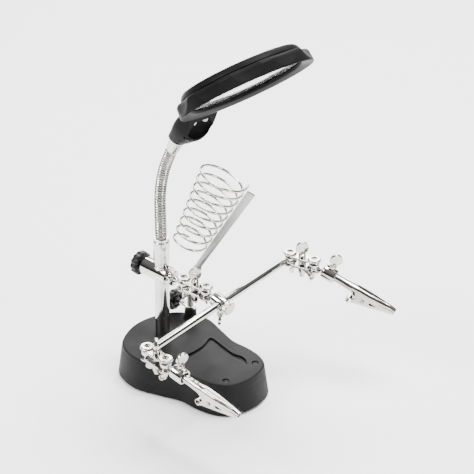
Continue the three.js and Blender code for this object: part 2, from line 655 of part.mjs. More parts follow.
function hose(points, steps) {
  const line = new THREE.CatmullRomCurve3(points.map(([x, z]) => new THREE.Vector3(x, 0, z)));
  return new THREE.ExtrudeGeometry(wireSection(NECK.hoseR, 14), {
    extrudePath: line, steps, bevelEnabled: false,
  });
}

function lowerFerrule() {
  const { ferruleR: r, ferruleTop: top } = NECK;
  const foot = POST.top + GAP;
  return turned([
    [0, foot], [POST.r, foot], [POST.r, 98.8], [r, 99.2], [r, top - 3], [r - 0.8, top - 2.2],
    [r - 0.8, top], [0, top],
  ], 22).translate(POST.x, 0, 0);
}

function upperFerrule() {
  const { hoseR, flareR, flareEnd } = NECK;
  const flare = turned([
    [0, 2.4], [3.9, 2.4], [5.2, 7], [flareR, 15], [flareR, flareEnd], [0, flareEnd],
  ], 20, 'x');
  return cut(flare, ballAt(hoseR + 0.3, 14, 8));
}

const flareFrame = () => frameAt(group, xyz(BENDS[1]), { pitch: FLARE_PITCH });

function addNeck() {
  const knuckle = (at) => ballAt(NECK.hoseR - 0.15, 14, 8).translate(...xyz(at));
  const cup = ballAt(NECK.hoseR + 0.3, 14, 8).translate(...xyz(BENDS[0]));
  add(group, 'neck_lower_ferrule', lowerFerrule(), chrome);
  const lower = hose([[POST.x, NECK.ferruleTop + GAP], [-37.3, 130], [-37.6, 145], [-37.5, 157.6]], 6);
  add(group, 'neck_hose_lower', cut(lower, cup), steel);
  const upper = hose([[-37.3, 162], [-35.2, 175], [-31.5, 188.5], [-25.2, 203.6]], 7);
  add(group, 'neck_hose_upper', join(upper, ...BENDS.map(knuckle)), steel);
  add(flareFrame(), 'neck_upper_ferrule', upperFerrule(), chrome);
}

// ---------------------------------------------------------------- magnifier and light
// The magnifier's frame: +X runs from the lens centre to the front edge, +Z is the lens's upper side.
function headFrame() {
  const frame = frameAt(group, RING.centre, { pitch: RING.tilt });
  frame.rotateX(RING.roll * RAD);
  return frame;
}

function lensRing() {
  const { r, height, openR, seatZ } = RING;
  const ring = turned([
    [openR + 0.9, 2.4], [r - 0.6, 0], [r, 0.6], [r - 0.8, height - 2.5], [r - 2.8, height - 0.4],
    [r - 5, height], [openR + 2.2, height], [openR + 2.2, seatZ], [openR, seatZ], [openR + 0.9, 2.4],
  ], 40);
  // thumb grooves all round the rim, except where the light housing joins it
  const grooves = Array.from({ length: 10 }, (_, i) => {
    const angle = i * 36 * RAD + Math.PI;
    const reach = r + 13;
    return rod(15, -4, 20, 'z', 18).rotateY(-9 * RAD).translate(reach, 0, 0).rotateZ(angle);
  });
  return cut(ring, ...grooves.slice(1));
}

function retainingRing() {
  const { height, openR } = RING;
  const foot = height + GAP;
  const seat = RING.seatZ + 2.6;
  return turned([
    [openR - 0.6, seat], [openR + 1.8, seat], [openR + 1.8, foot], [openR + 4.4, foot], [openR + 2.8, foot + 4],
    [openR + 0.8, foot + 5.5], [openR - 0.8, foot + 4.4], [openR - 0.6, seat],
  ], 36);
}

function lensGlass() {
  const radius = RING.openR + 1.8;
  const bands = [0, 1, 2, 3];
  const face = (z0, sag) => bands.map((i) => [(i / 3) * radius, z0 + sag * (1 - (i / 3) ** 2)]);
  return turned([...face(RING.seatZ + GAP, -1.7), ...face(RING.seatZ + 2, 3).reverse()], 28);
}

// The light housing runs from the ring's rear wall back to the gooseneck, flat above and round below.
// Each section: its middle, how far it leans, its half width and its reach up and down.
const HUB_SECTIONS = [
  { x: -50, z: 2, lean: 0, half: 15.6, up: 9.3, down: 15.6 },
  { x: -66, z: 2, lean: 0, half: 15.6, up: 9.3, down: 15.6 },
  { x: -76, z: 1, lean: 4, half: 14.8, up: 9.2, down: 14.6 },
  { x: -84, z: -0.3, lean: 10, half: 13, up: 8.3, down: 12.4 },
  { x: -91.5, z: -1.9, lean: 16, half: 10.4, up: 7.2, down: 9.9 },
  { x: -98, z: -3, lean: 22.8, half: 7.9, up: 6.8, down: 7.6 },
  { x: -99.6, z: -3.6, lean: 22.8, half: 7, up: 6.4, down: 7 },
];
const MOUTH = { x: -61, z: 0, slope: 38.7, length: 21 };
const LEDS = { x: -66.5, y: 6.2, z: 0.1 };
const SLOT = { x: -77.5, y: -10, z: -9.6, roll: 148 };

function hubSection({ x, z, lean, half, up, down }) {
  const sides = 32;
  const square = 0.6;
  return Array.from({ length: sides }, (_, i) => {
    const [c, s] = [Math.cos((i / sides) * 2 * Math.PI), Math.sin((i / sides) * 2 * Math.PI)];
    const y = half * (s > 0 ? Math.sign(c) * Math.abs(c) ** square : c);
    const h = s > 0 ? up * s ** square : down * s;
    return [x - h * Math.sin(lean * RAD), y, z + h * Math.cos(lean * RAD)];
  });
}

// Moves a solid built on the mouth's plane (+X down the slope, +Z outwards) into place.
const onMouth = (geometry) => geometry.rotateY((180 - MOUTH.slope) * RAD).translate(MOUTH.x, 0, MOUTH.z);
const atLed = (geometry, side) => onMouth(geometry).translate(
  LEDS.x - MOUTH.x,
  side * LEDS.y,
  LEDS.z - MOUTH.z,
);
const atSlot = (geometry) => geometry.rotateX(SLOT.roll * RAD).translate(SLOT.x, SLOT.y, SLOT.z);

function lightHousing(ferruleRoom) {
  const body = lofted(HUB_SECTIONS.map(hubSection).reverse(), 'x');
  const ringRoom = rod(RING.r + GAP, -30, 30, 'z', 80);
  const below = onMouth(box(-40, 60, -30, 30, 0, 60));
  const bowl = onMouth(ballAt(1, 24, 12).scale(8.7, 12.9, 8).translate(MOUTH.length / 2, 0, 0));
  const ledRooms = [-1, 1].map((side) => atLed(rod(2.8, -3.4, 12, 'z', 16), side));
  const slot = atSlot(box(-1, 1, -3.6, 3.6, -2, 4));
  return cut(body, ringRoom, below, bowl, ...ledRooms, slot, ferruleRoom);
}

function led(side) {
  return atLed(turned([[0, -3], [2.5, -3], [2.5, 0.4], [1.8, 2], [0, 2.6]], 12), side);
}

function addHead() {
  const frame = headFrame();
  add(frame, 'lens_ring', lensRing(), blackGloss);
  add(frame, 'lens_retaining_ring', retainingRing(), blackGloss);
  add(frame, 'magnifier_lens', lensGlass(), clearGlass);
  group.updateMatrixWorld(true);
  const ferrule = flareFrame();
  ferrule.updateMatrixWorld(true);
  const toHead = frame.matrixWorld.clone().invert().multiply(ferrule.matrixWorld);
  const ferruleRoom = rod(NECK.flareR + GAP, 0, NECK.flareEnd + GAP, 'x', 20).applyMatrix4(toHead);
  add(frame, 'light_housing', lightHousing(ferruleRoom), blackGloss);
  [-1, 1].forEach((side, i) => add(frame, `led_${i + 1}`, led(side), ledLens));
  add(frame, 'light_switch', atSlot(box(-0.7, 0.7, -1.3, 1.3, -1.7, 0.5)), blackSatin);
}

addBase();
addCollar();
addCentre();
addArm('left', leftRodBall, HEADING.leftClamp, HEADING.leftClip, TURN.left);
addArm('right', rightRodBall, HEADING.rightClamp, HEADING.rightClip, TURN.right);
addHolder();
addNeck();
addHead();

export default group;
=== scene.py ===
"""A soldering helping-hands station: base, post, ball-jointed clamps, clips, iron holder, lit magnifier.

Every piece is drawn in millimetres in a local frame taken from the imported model, then placed in metres.
"""
import json
import math

import bmesh
import bpy
from mathutils import Matrix, Vector


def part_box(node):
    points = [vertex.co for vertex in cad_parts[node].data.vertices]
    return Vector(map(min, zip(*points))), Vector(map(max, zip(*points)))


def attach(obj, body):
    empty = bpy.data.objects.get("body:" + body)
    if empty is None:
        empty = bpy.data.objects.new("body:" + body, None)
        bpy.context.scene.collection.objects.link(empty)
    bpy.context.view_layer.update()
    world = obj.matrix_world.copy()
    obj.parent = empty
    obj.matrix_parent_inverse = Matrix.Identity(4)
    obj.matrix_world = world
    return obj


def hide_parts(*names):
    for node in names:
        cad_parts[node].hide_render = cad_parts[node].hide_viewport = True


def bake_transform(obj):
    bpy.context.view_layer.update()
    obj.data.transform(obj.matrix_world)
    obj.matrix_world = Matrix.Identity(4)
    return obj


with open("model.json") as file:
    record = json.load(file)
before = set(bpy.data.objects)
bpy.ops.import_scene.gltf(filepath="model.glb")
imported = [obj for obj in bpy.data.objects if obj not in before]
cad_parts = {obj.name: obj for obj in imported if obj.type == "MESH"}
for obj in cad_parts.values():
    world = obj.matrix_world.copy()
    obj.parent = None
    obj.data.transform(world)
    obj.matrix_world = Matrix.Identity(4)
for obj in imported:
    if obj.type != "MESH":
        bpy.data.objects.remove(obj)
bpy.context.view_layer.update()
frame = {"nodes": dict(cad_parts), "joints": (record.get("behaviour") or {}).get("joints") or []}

MM = 0.001
JOINTS = {joint["name"]: joint for joint in frame["joints"]}
X, Z = Vector((1, 0, 0)), Vector((0, 0, 1))


# ---- places taken from the frame
def pos(joint):
    return Vector(JOINTS[joint]["pos_m"])


def axis(joint):
    return Vector(JOINTS[joint]["axis"]).normalized()


def place(origin, x, z):
    """A frame in millimetres at a point in metres, with its X axis along x and Z leaning on z."""
    x = x.normalized()
    z = (z - x * z.dot(x)).normalized()
    turn = Matrix((x, z.cross(x), z)).transposed().to_4x4()
    return Matrix.Translation(origin) @ turn @ Matrix.Scale(MM, 4)


def upright(x, y, z=0.0):
    """A frame standing on a point given in metres, with the object's own axes."""
    return Matrix.Translation((x, y, z)) @ Matrix.Scale(MM, 4)


def centre(node):
    low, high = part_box(node)
    return (low + high) / 2


# ---- materials
GRAIN_DEPTH = 0.0002  # metres


def noise(nodes, coordinates, scale, detail=3.0, stretch=None):
    texture = nodes.new("ShaderNodeTexNoise")
    texture.inputs["Scale"].default_value = scale
    texture.inputs["Detail"].default_value = detail
    links = texture.id_data.links
    if stretch:
        mapping = nodes.new("ShaderNodeMapping")
        mapping.inputs["Scale"].default_value = stretch
        links.new(coordinates, mapping.inputs["Vector"])
        coordinates = mapping.outputs["Vector"]
    links.new(coordinates, texture.inputs["Vector"])
    return texture.outputs["Fac"]


def ramp(nodes, source, low, high, start=0.35, end=0.65):
    node = nodes.new("ShaderNodeValToRGB")
    node.color_ramp.elements[0].position = start
    node.color_ramp.elements[1].position = end
    node.color_ramp.elements[0].color = (*low, 1)
    node.color_ramp.elements[1].color = (*high, 1)
    node.id_data.links.new(source, node.inputs["Fac"])
    return node.outputs["Color"]


def span(nodes, source, low, high):
    node = nodes.new("ShaderNodeMapRange")
    node.inputs["From Min"].default_value = 0.3
    node.inputs["From Max"].default_value = 0.7
    node.inputs["To Min"].default_value = low
    node.inputs["To Max"].default_value = high
    node.id_data.links.new(source, node.inputs["Value"])
    return node.outputs["Result"]


def surface(name, low, high, rough, metallic, patch=60.0, grain=900.0, bump=0.1, stretch=None, **fixed):
    """A procedural surface: two close tones, patchy roughness and a fine grain in the normal."""
    material = bpy.data.materials.new(name)
    material.use_nodes = True
    nodes, links = material.node_tree.nodes, material.node_tree.links
    shader = nodes["Principled BSDF"]
    shader.inputs["Metallic"].default_value = metallic
    for key, value in fixed.items():
        shader.inputs[key.replace("_", " ")].default_value = value
    coordinates = nodes.new("ShaderNodeTexCoord").outputs["Object"]
    patches = noise(nodes, coordinates, patch)
    links.new(ramp(nodes, patches, low, high), shader.inputs["Base Color"])
    links.new(span(nodes, patches, *rough), shader.inputs["Roughness"])
    fine = noise(nodes, coordinates, grain, 2.0, stretch)
    relief = nodes.new("ShaderNodeBump")
    relief.inputs["Strength"].default_value = bump
    relief.inputs["Distance"].default_value = GRAIN_DEPTH
    links.new(fine, relief.inputs["Height"])
    links.new(relief.outputs["Normal"], shader.inputs["Normal"])
    return material


CHROME = surface("chrome_plate", (0.60, 0.59, 0.56), (0.68, 0.67, 0.64), (0.06, 0.12), 1.0, bump=0.02)
NICKEL = surface("nickel_plate", (0.53, 0.51, 0.47), (0.63, 0.61, 0.565), (0.12, 0.2), 1.0, bump=0.05)
STEEL = surface("satin_steel", (0.36, 0.36, 0.35), (0.46, 0.46, 0.45), (0.24, 0.36), 1.0, grain=500.0,
                bump=0.12, stretch=(1.0, 1.0, 0.08))
BLACK_SATIN = surface("black_satin_plastic", (0.006, 0.006, 0.006), (0.009, 0.009, 0.0092), (0.45, 0.56), 0.0,
                      grain=2600.0, bump=0.3, Specular_IOR_Level=0.12)
BLACK_KNOB = surface("black_knob_plastic", (0.003, 0.003, 0.003), (0.005, 0.005, 0.005), (0.3, 0.42), 0.0,
                     grain=1800.0, bump=0.15, Specular_IOR_Level=0.3)
BLACK_GLOSS = surface("black_gloss_plastic", (0.008, 0.008, 0.0083), (0.011, 0.011, 0.0113), (0.3, 0.38), 0.0,
                      patch=35.0, grain=1200.0, bump=0.06, Specular_IOR_Level=0.015)
HOSE = surface("wound_steel", (0.42, 0.41, 0.38), (0.54, 0.53, 0.49), (0.2, 0.3), 1.0, grain=900.0, bump=0.06)
RUBBER = surface("foam_rubber", (0.012, 0.012, 0.012), (0.022, 0.022, 0.022), (0.85, 0.95), 0.0,
                 grain=1500.0, bump=0.7)
CAST_IRON = surface("cast_iron", (0.07, 0.065, 0.06), (0.12, 0.11, 0.10), (0.6, 0.8), 0.6,
                    grain=700.0, bump=0.8)
CELL_WRAP = surface("cell_wrap", (0.03, 0.13, 0.07), (0.04, 0.17, 0.09), (0.25, 0.35), 0.1, bump=0.04)
LED_DOME = surface("led_dome", (0.84, 0.84, 0.76), (0.93, 0.93, 0.88), (0.06, 0.12), 0.0, bump=0.02,
                   Transmission_Weight=0.35, IOR=1.5)
LENS_GLASS = surface("optical_glass", (0.95, 0.98, 0.985), (0.98, 0.995, 1.0), (0.0, 0.012), 0.0, bump=0.0,
                     Transmission_Weight=1.0, IOR=1.5)


# ---- mesh building, in millimetres
def through(a, b, c, d, t):
    """The point a share t of the way from b to c on the Catmull-Rom curve through four knots."""
    return 0.5 * (2 * b + (c - a) * t + (2 * a - 5 * b + 4 * c - d) * t ** 2
                  + (3 * b - a - 3 * c + d) * t ** 3)


def rounded(points, radius, steps=3, closed=False):
    """Every corner of an open or closed outline cut back by a short curve of about this radius."""
    out = []
    count = len(points)
    for i, point in enumerate(points):
        here = Vector(point)
        if not closed and i in (0, count - 1):
            out.append(tuple(here))
            continue
        before, after = Vector(points[i - 1]), Vector(points[(i + 1) % count])
        reach = min(radius, (before - here).length * 0.45, (after - here).length * 0.45)
        start = here + (before - here).normalized() * reach
        end = here + (after - here).normalized() * reach
        for k in range(steps + 1):
            t = k / steps
            out.append(tuple((1 - t) ** 2 * start + 2 * t * (1 - t) * here + t * t * end))
    return out


def lathe(profile, along="z", segments=72, shape=None):
    """A closed solid turned from (distance along the axis, radius) points, ends on the axis.

    shape(angle, radius, distance) may change the radius, for lobes, knurls and grooves.
    """
    bm = bmesh.new()
    rings = []
    for distance, radius in profile:
        if radius < 1e-6:
            rings.append([bm.verts.new((0, 0, distance))])
            continue
        ring = []
        for k in range(segments):
            angle = 2 * math.pi * k / segments
            r = shape(angle, radius, distance) if shape else radius
            ring.append(bm.verts.new((r * math.cos(angle), r * math.sin(angle), distance)))
        rings.append(ring)
    closed = len(rings[0]) > 1
    pairs = list(zip(rings, rings[1:])) + ([(rings[-1], rings[0])] if closed else [])
    for low, high in pairs:
        for k in range(segments):
            n = (k + 1) % segments
            if len(low) == 1:
                bm.faces.new((low[0], high[n], high[k]))
            elif len(high) == 1:
                bm.faces.new((low[k], low[n], high[0]))
            else:
                bm.faces.new((low[k], low[n], high[n], high[k]))
    bmesh.ops.recalc_face_normals(bm, faces=bm.faces)
    if along == "x":
        bm.transform(Matrix.Rotation(math.pi / 2, 4, "Y"))
    if along == "y":
        bm.transform(Matrix.Rotation(-math.pi / 2, 4, "X"))
    return bm


def cylinder(radius, start, end, along, segments):
    return lathe([(start, 0), (start, radius), (end, radius), (end, 0)], along, segments)


def sphere(radius, rings=24, segments=48):
    steps = [math.pi * i / rings for i in range(rings + 1)]
    return lathe([(-radius * math.cos(a), radius * math.sin(a)) for a in steps], "z", segments)


def loft(rings):
    """A capped skin through equal rings of points."""
    bm = bmesh.new()
    rows = [[bm.verts.new(p) for p in ring] for ring in rings]
    count = len(rows[0])
    for low, high in zip(rows, rows[1:]):
        for k in range(count):
            n = (k + 1) % count
            bm.faces.new((low[k], low[n], high[n], high[k]))
    bm.faces.new(list(reversed(rows[0])))
    bm.faces.new(rows[-1])
    bmesh.ops.recalc_face_normals(bm, faces=bm.faces)
    return bm


def cut_from_sheet(outlines, thickness, edge):
    """Outlines in the XY plane, the first one outside and the rest holes, made a plate with round edges."""
    curve = bpy.data.curves.new("outline", "CURVE")
    curve.dimensions = "2D"
    curve.fill_mode = "BOTH"
    curve.extrude = thickness / 2 - edge
    curve.bevel_depth = edge
    curve.bevel_resolution = 2
    curve.offset = -edge
    for outline in outlines:
        spline = curve.splines.new("POLY")
        spline.points.add(len(outline) - 1)
        spline.use_cyclic_u = True
        for point, (x, y) in zip(spline.points, outline):
            point.co = (x, y, 0, 1)
    holder = bpy.data.objects.new("outline", curve)
    bpy.context.scene.collection.objects.link(holder)
    bpy.context.view_layer.update()
    mesh = bpy.data.meshes.new_from_object(holder.evaluated_get(bpy.context.evaluated_depsgraph_get()))
    bm = bmesh.new()
    bm.from_mesh(mesh)
    bmesh.ops.remove_doubles(bm, verts=bm.verts, dist=1e-4)
    bmesh.ops.recalc_face_normals(bm, faces=bm.faces)
    bpy.data.objects.remove(holder)
    bpy.data.curves.remove(curve)
    bpy.data.meshes.remove(mesh)
    return bm


def moved(bm, matrix):
    bm.transform(matrix)
    return bm


def shift(x=0.0, y=0.0, z=0.0):
    return Matrix.Translation((x, y, z))


def turn(degrees, about):
    return Matrix.Rotation(math.radians(degrees), 4, about)


def as_object(bm, name):
    mesh = bpy.data.meshes.new(name)
    bm.to_mesh(mesh)
    bm.free()
    thing = bpy.data.objects.new(name, mesh)
    bpy.context.scene.collection.objects.link(thing)
    return thing


def combined(body, tools, operation):
    """One solid after joining a body to each of the tools in turn, or cutting it by them."""
    target = as_object(body, "solid")
    spare = []
    for tool in tools:
        other = as_object(tool, "tool")
        spare.append(other)
        modifier = target.modifiers.new("boolean", "BOOLEAN")
        modifier.operation = operation
        modifier.solver = "EXACT"
        modifier.object = other
    bpy.context.view_layer.update()
    mesh = bpy.data.meshes.new_from_object(target.evaluated_get(bpy.context.evaluated_depsgraph_get()))
    result = bmesh.new()
    result.from_mesh(mesh)
    bmesh.ops.remove_doubles(result, verts=result.verts, dist=1e-5)
    for thing in [target, *spare]:
        bpy.data.objects.remove(thing)
    bpy.data.meshes.remove(mesh)
    return result


def join(body, *tools):
    return combined(body, tools, "UNION")


def cut(body, *tools):
    return combined(body, tools, "DIFFERENCE")


def circle(radius, x, y, segments, start=0.0, end=360.0):
    full = end - start >= 360
    steps = segments if full else segments + 1
    angles = [math.radians(start + (end - start) * k / segments) for k in range(steps)]
    return [(x + radius * math.cos(a), y + radius * math.sin(a)) for a in angles]


def slab(x0, x1, y0, y1, z0, z1, edge=0.0):
    bm = bmesh.new()
    bmesh.ops.create_cube(bm, size=1)
    size = (x1 - x0, y1 - y0, z1 - z0)
    bm.transform(Matrix.Diagonal((*size, 1)))
    bm.transform(shift((x0 + x1) / 2, (y0 + y1) / 2, (z0 + z1) / 2))
    if edge:
        bmesh.ops.bevel(bm, geom=bm.edges[:], offset=edge, segments=3, affect="EDGES", profile=0.5)
    return bm


def piece(name, bm, where, material, body, stands_for=(), angle=32):
    """A finished piece: placed, shaded smooth with its true edges sharp, and riding on its body."""
    bm.transform(where)
    bmesh.ops.dissolve_degenerate(bm, edges=bm.edges, dist=1e-7)
    thing = as_object(bm, name)
    thing.data.materials.append(material)
    for polygon in thing.data.polygons:
        polygon.use_smooth = True
    thing.data.set_sharp_from_angle(angle=math.radians(angle))
    if body:
        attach(thing, body)
    if stands_for:
        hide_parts(*stands_for)
    return thing


# ---- base
HALF_OUTLINE = [(-64.5, 0), (-61.6, 16), (-53, 32), (-39, 40.6), (-23, 42.4), (-4, 36.6),
                (14, 31.2), (31, 31), (46, 28.4), (58, 20), (63.2, 0)]
HALF_TRAY = [(0.5, 0), (-0.5, 10), (-3.4, 18), (-3.6, 22), (1, 23), (11, 20.6), (27, 17.4), (36, 18.8),
             (44, 16), (50, 8.6), (52, 0)]
BASE_FLARE = 3.9
BASE_WALL = 2.8
TRAY_DEPTH = 1.6
TRAY_EDGE = 0.9  # the round over the tray's rim
POCKET_DEPTH = 2.3
SCREW_SEAT = 2.2  # how far the tray screws stand below the flat top
BOSS_RISE = 10  # from the flat top to the boss's screw


def closed_curve(half, count):
    """A smooth closed curve through half an outline and its mirror image, as points and outward normals."""
    loop = half + [(x, -y) for x, y in reversed(half[1:-1])]
    knots = [Vector(p) for p in reversed(loop)]
    samples = []
    total = len(knots)
    for i in range(total):
        a, b, c, d = (knots[(i + k - 1) % total] for k in range(4))
        samples += [through(a, b, c, d, step / 40) for step in range(40)]
    lengths = [0.0]
    for p, q in zip(samples, samples[1:] + samples[:1]):
        lengths.append(lengths[-1] + (q - p).length)
    points = []
    i = 0
    for k in range(count):
        goal = lengths[-1] * k / count
        while lengths[i + 1] < goal:
            i += 1
        t = (goal - lengths[i]) / (lengths[i + 1] - lengths[i])
        points.append(samples[i].lerp(samples[(i + 1) % len(samples)], t))
    normals = []
    for k in range(count):
        way = (points[(k + 1) % count] - points[k - 1]).normalized()
        normals.append(Vector((way.y, -way.x)))
    # the curve may run either way round; a normal must point away from the middle
    if normals[0].dot(points[0]) < 0:
        normals = [-n for n in normals]
    return points, normals


def ring_at(curve, offset, z):
    return [(*(p + n * offset), z) for p, n in zip(*curve)]


def fillet_layers(r, z, radius, steps=5):
    """Offsets and heights of a quarter round that ends at a wall's top edge."""
    angles = [math.pi / 2 * k / steps for k in range(steps + 1)]
    return [(r - radius * (1 - math.cos(a)), z - radius * (1 - math.sin(a))) for a in angles]


def base_shell(top, bottom, screw_spots):
    outer = closed_curve(HALF_OUTLINE, 260)
    tray = closed_curve(HALF_TRAY, 200)
    bm = bmesh.new()

    def layer(points):
        return [bm.verts.new(p) for p in points]

    def skin(low, high):
        for k in range(len(low)):
            n = (k + 1) % len(low)
            bm.faces.new((low[k], low[n], high[n], high[k]))

    def wall(layers, curve):
        rows = [layer(ring_at(curve, offset, z)) for offset, z in layers]
        for low, high in zip(rows, rows[1:]):
            skin(low, high)
        return rows[0], rows[-1]

    def fill(*loops):
        edges = []
        for loop in loops:
            for a, b in zip(loop, loop[1:] + loop[:1]):
                edges.append(bm.edges.get((a, b)) or bm.edges.new((a, b)))
        bmesh.ops.triangle_fill(bm, edges=edges, use_beauty=True)

    inner = BASE_FLARE - BASE_WALL
    rim = [(inner, bottom), (BASE_FLARE - 0.5, bottom), (BASE_FLARE, bottom + 0.5)]
    inside, _ = wall([(inner, top - 6), (inner, bottom)], outer)
    _, crown = wall(rim + [(0.5, top - 2.4)] + fillet_layers(0.35, top, 1.5), outer)
    floor = top - TRAY_DEPTH
    edge = [(TRAY_EDGE - TRAY_EDGE * math.sin(a), top - TRAY_EDGE * (1 - math.cos(a)))
            for a in (math.pi / 2 * k / 4 for k in range(5))]
    lip_start, lip_end = wall(edge + [(-0.2, floor + 0.7), (-0.5, floor + 0.2), (-1.1, floor)], tray)
    holes = []
    for x, y in screw_spots:
        wide = layer([(px, py, top) for px, py in circle(2.9, x, y, 32)])
        deep = layer([(px, py, top - POCKET_DEPTH) for px, py in circle(2.8, x, y, 32)])
        skin(wide, deep)
        fill(deep)
        holes.append(wide)
    fill(crown, lip_start, *holes)
    fill(lip_end)
    fill(inside)
    bmesh.ops.remove_doubles(bm, verts=bm.verts, dist=1e-4)
    bmesh.ops.recalc_face_normals(bm, faces=bm.faces)
    return bm


def tray_screw():
    head = lathe(rounded([(0, 0), (0, 2.65), (1.2, 2.6), (1.8, 1.6), (1.9, 0)], 0.3), "z", 40)
    slots = [slab(-1.8, 1.8, -0.35, 0.35, 1.0, 3), slab(-0.35, 0.35, -1.8, 1.8, 1.0, 3)]
    return cut(head, *slots)


def lobed(count, depth):
    return lambda angle, radius, distance: radius - depth * (0.5 - 0.5 * math.cos(count * angle)) ** 1.5


def knob_head(radius, thickness):
    """A black grip with rounded lobes and a dished face, its flat back at x = -thickness."""
    rim = radius - 1.5
    profile = [(-thickness, 0), (-thickness, rim), (-thickness + 1.5, radius), (-1.5, radius), (0, rim),
               (0, radius * 0.66), (-1.6, radius * 0.5), (-1.6, radius * 0.42), (0.4, radius * 0.38),
               (0.4, 0)]
    depth = lobed(12, 0.9)

    def grip(angle, r, distance):
        return depth(angle, r, distance) if r > radius * 0.7 else r

    return lathe(rounded(profile, 0.8), "x", 144, grip)


def build_base():
    low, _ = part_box("base_shell")
    screws = [centre("base_screw_1"), centre("base_screw_2")]
    spots = [(p.x / MM, p.y / MM) for p in screws]
    spot = pos("boss_knob_turn")
    # the moulded boss rises above the flat top, so the box of base_shell does not give that top
    shell_top = spot.z / MM - BOSS_RISE
    shell = base_shell(shell_top, low.z / MM, spots)
    piece("base_cover", shell, Matrix.Scale(MM, 4), BLACK_SATIN, "base",
          ["base_shell"])
    for number, (x, y) in enumerate(spots, 1):
        where = upright(x * MM, y * MM, (shell_top - SCREW_SEAT) * MM)
        piece(f"tray_screw_{number}", tray_screw(), where, BLACK_KNOB, "base",
              [f"base_screw_{number}"])
    post_low, post_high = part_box("post")
    middle = centre("post")
    radius = (post_high.x - post_low.x) / 2 / MM
    column = lathe(rounded([(shell_top + 0.05, 0), (shell_top + 0.05, radius), (post_high.z / MM, radius),
                            (post_high.z / MM, 0)], 0.6), "z", 96)
    piece("chrome_post", column, upright(middle.x, middle.y), CHROME, "base", ["post"])
    boss = lathe(rounded([(0, 0), (0, 6.6), (0.7, 6.1), (1.6, 5.7), (4, 5.2), (9.6, 4.9), (9.8, 0)], 0.5),
                 "z", 64)
    collar = lathe(rounded([(9.8, 0), (9.8, 4.9), (12.6, 4.8), (12.8, 3), (10.5, 3), (10.5, 0)], 0.35),
                   "z", 64)
    where = upright(spot.x, spot.y, (shell_top - 0.2) * MM)
    piece("moulded_boss", boss, where, BLACK_SATIN, "base")
    piece("boss_collar", collar, where, CHROME, "base")


# ---- collar and sleeve
BALL = 4.6
STUD = 1.5
STUD_FOOT = 4.9  # where a stud comes out of its ball
COLLAR_BORE = 6.35
ROD_RADIUS = 3.3
ROD_HOLE = 17.5  # along the sleeve, from its ball


def build_collar():
    where = place(pos("collar_turn"), X, Z)
    body = lathe(rounded([(-18, 0), (-18, 7.8), (9, 7.8), (9, 3.7), (12.6, 3.1), (12.6, 6.4), (14.6, 6.4),
                          (15.2, 2.6), (17.5, STUD), (20.2, STUD), (20.2, 0)], 0.6), "x", 96)
    bore = cylinder(COLLAR_BORE, -12, 12, "z", 96)
    thread = cylinder(2.9, -20, -5, "x", 32)
    piece("collar_body", cut(body, bore, thread), where, CHROME, "collar", ["collar_clamp"])
    grip = moved(knob_head(10.3, 7.4), shift(-20.6))
    piece("collar_grip", grip, where, BLACK_KNOB, "collar_knob", ["collar_knob"])
    screw = lathe(rounded([(-22.5, 0), (-22.5, 2.6), (-6.6, 2.6), (-6.6, 0)], 0.5), "x", 40)
    piece("collar_screw", screw, where, CHROME, "collar_knob")
    piece("collar_stud_ball", sphere(BALL), place(pos("collar_ball_roll"), X, Z), CHROME, "collar_ball",
          ["collar_ball"])


def build_sleeve():
    where = place(pos("sleeve_roll"), axis("sleeve_roll"), axis("sleeve_screw_turn"))
    piece("sleeve_stud_ball", sphere(BALL), where, CHROME, "sleeve_ball", ["sleeve_ball"])
    body = lathe(rounded([(STUD_FOOT, 0), (STUD_FOOT, STUD), (7.2, STUD), (8.8, 5.2), (9.8, 6), (21.8, 6),
                          (21.8, 0)], 0.5), "x", 80)
    tools = [moved(cylinder(ROD_RADIUS + 0.2, -9, 9, "y", 64), shift(ROD_HOLE)),
             cylinder(2.3, ROD_HOLE, 30, "x", 32), moved(cylinder(2.1, -9, 0, "z", 32), shift(ROD_HOLE))]
    piece("sleeve_body", cut(body, *tools), where, CHROME, "sleeve", ["rod_sleeve"])

    def knurl(angle, radius, distance):
        return radius - (0.35 * (0.5 - 0.5 * math.cos(26 * angle)) if radius > 5 else 0)

    knob = lathe(rounded([(22.4, 0), (22.4, 5.95), (26.6, 5.95), (26.9, 5.1), (27.7, 5), (27.7, 0)], 0.4),
                 "x", 208, knurl)
    knob = join(knob, cylinder(2, 21.5, 23, "x", 32))
    piece("sleeve_grip", knob, where, NICKEL, "sleeve_knob", ["sleeve_knob"])
    screw = moved(spade(1.9, 7, 4.8, 48), shift(ROD_HOLE, 0, -3.6) @ turn(180, "X"))
    piece("sleeve_spade", screw, where, NICKEL, "sleeve_screw", ["sleeve_screw"])
    start, end = pos("left_rod_ball_roll"), pos("right_rod_ball_roll")
    length = (end - start).length / MM
    half = [(STUD_FOOT, 0), (STUD_FOOT, STUD), (8, STUD), (9.4, ROD_RADIUS)]
    mirrored = [(length - at, radius) for at, radius in reversed(half)]
    bar = lathe(rounded(half + mirrored, 0.4), "x", 64)
    piece("rod_bar", bar, place(start, end - start, Z), CHROME, "rod", ["cross_rod"])


# ---- thumbscrews, wing nuts, double-ball clamps
SPADE_THICK = 2.4
WING_SPAN = 11
PLATE_THICK = 2.0
PLATE_LEVEL = 3.8  # the middle of a plate, above the line of its two balls


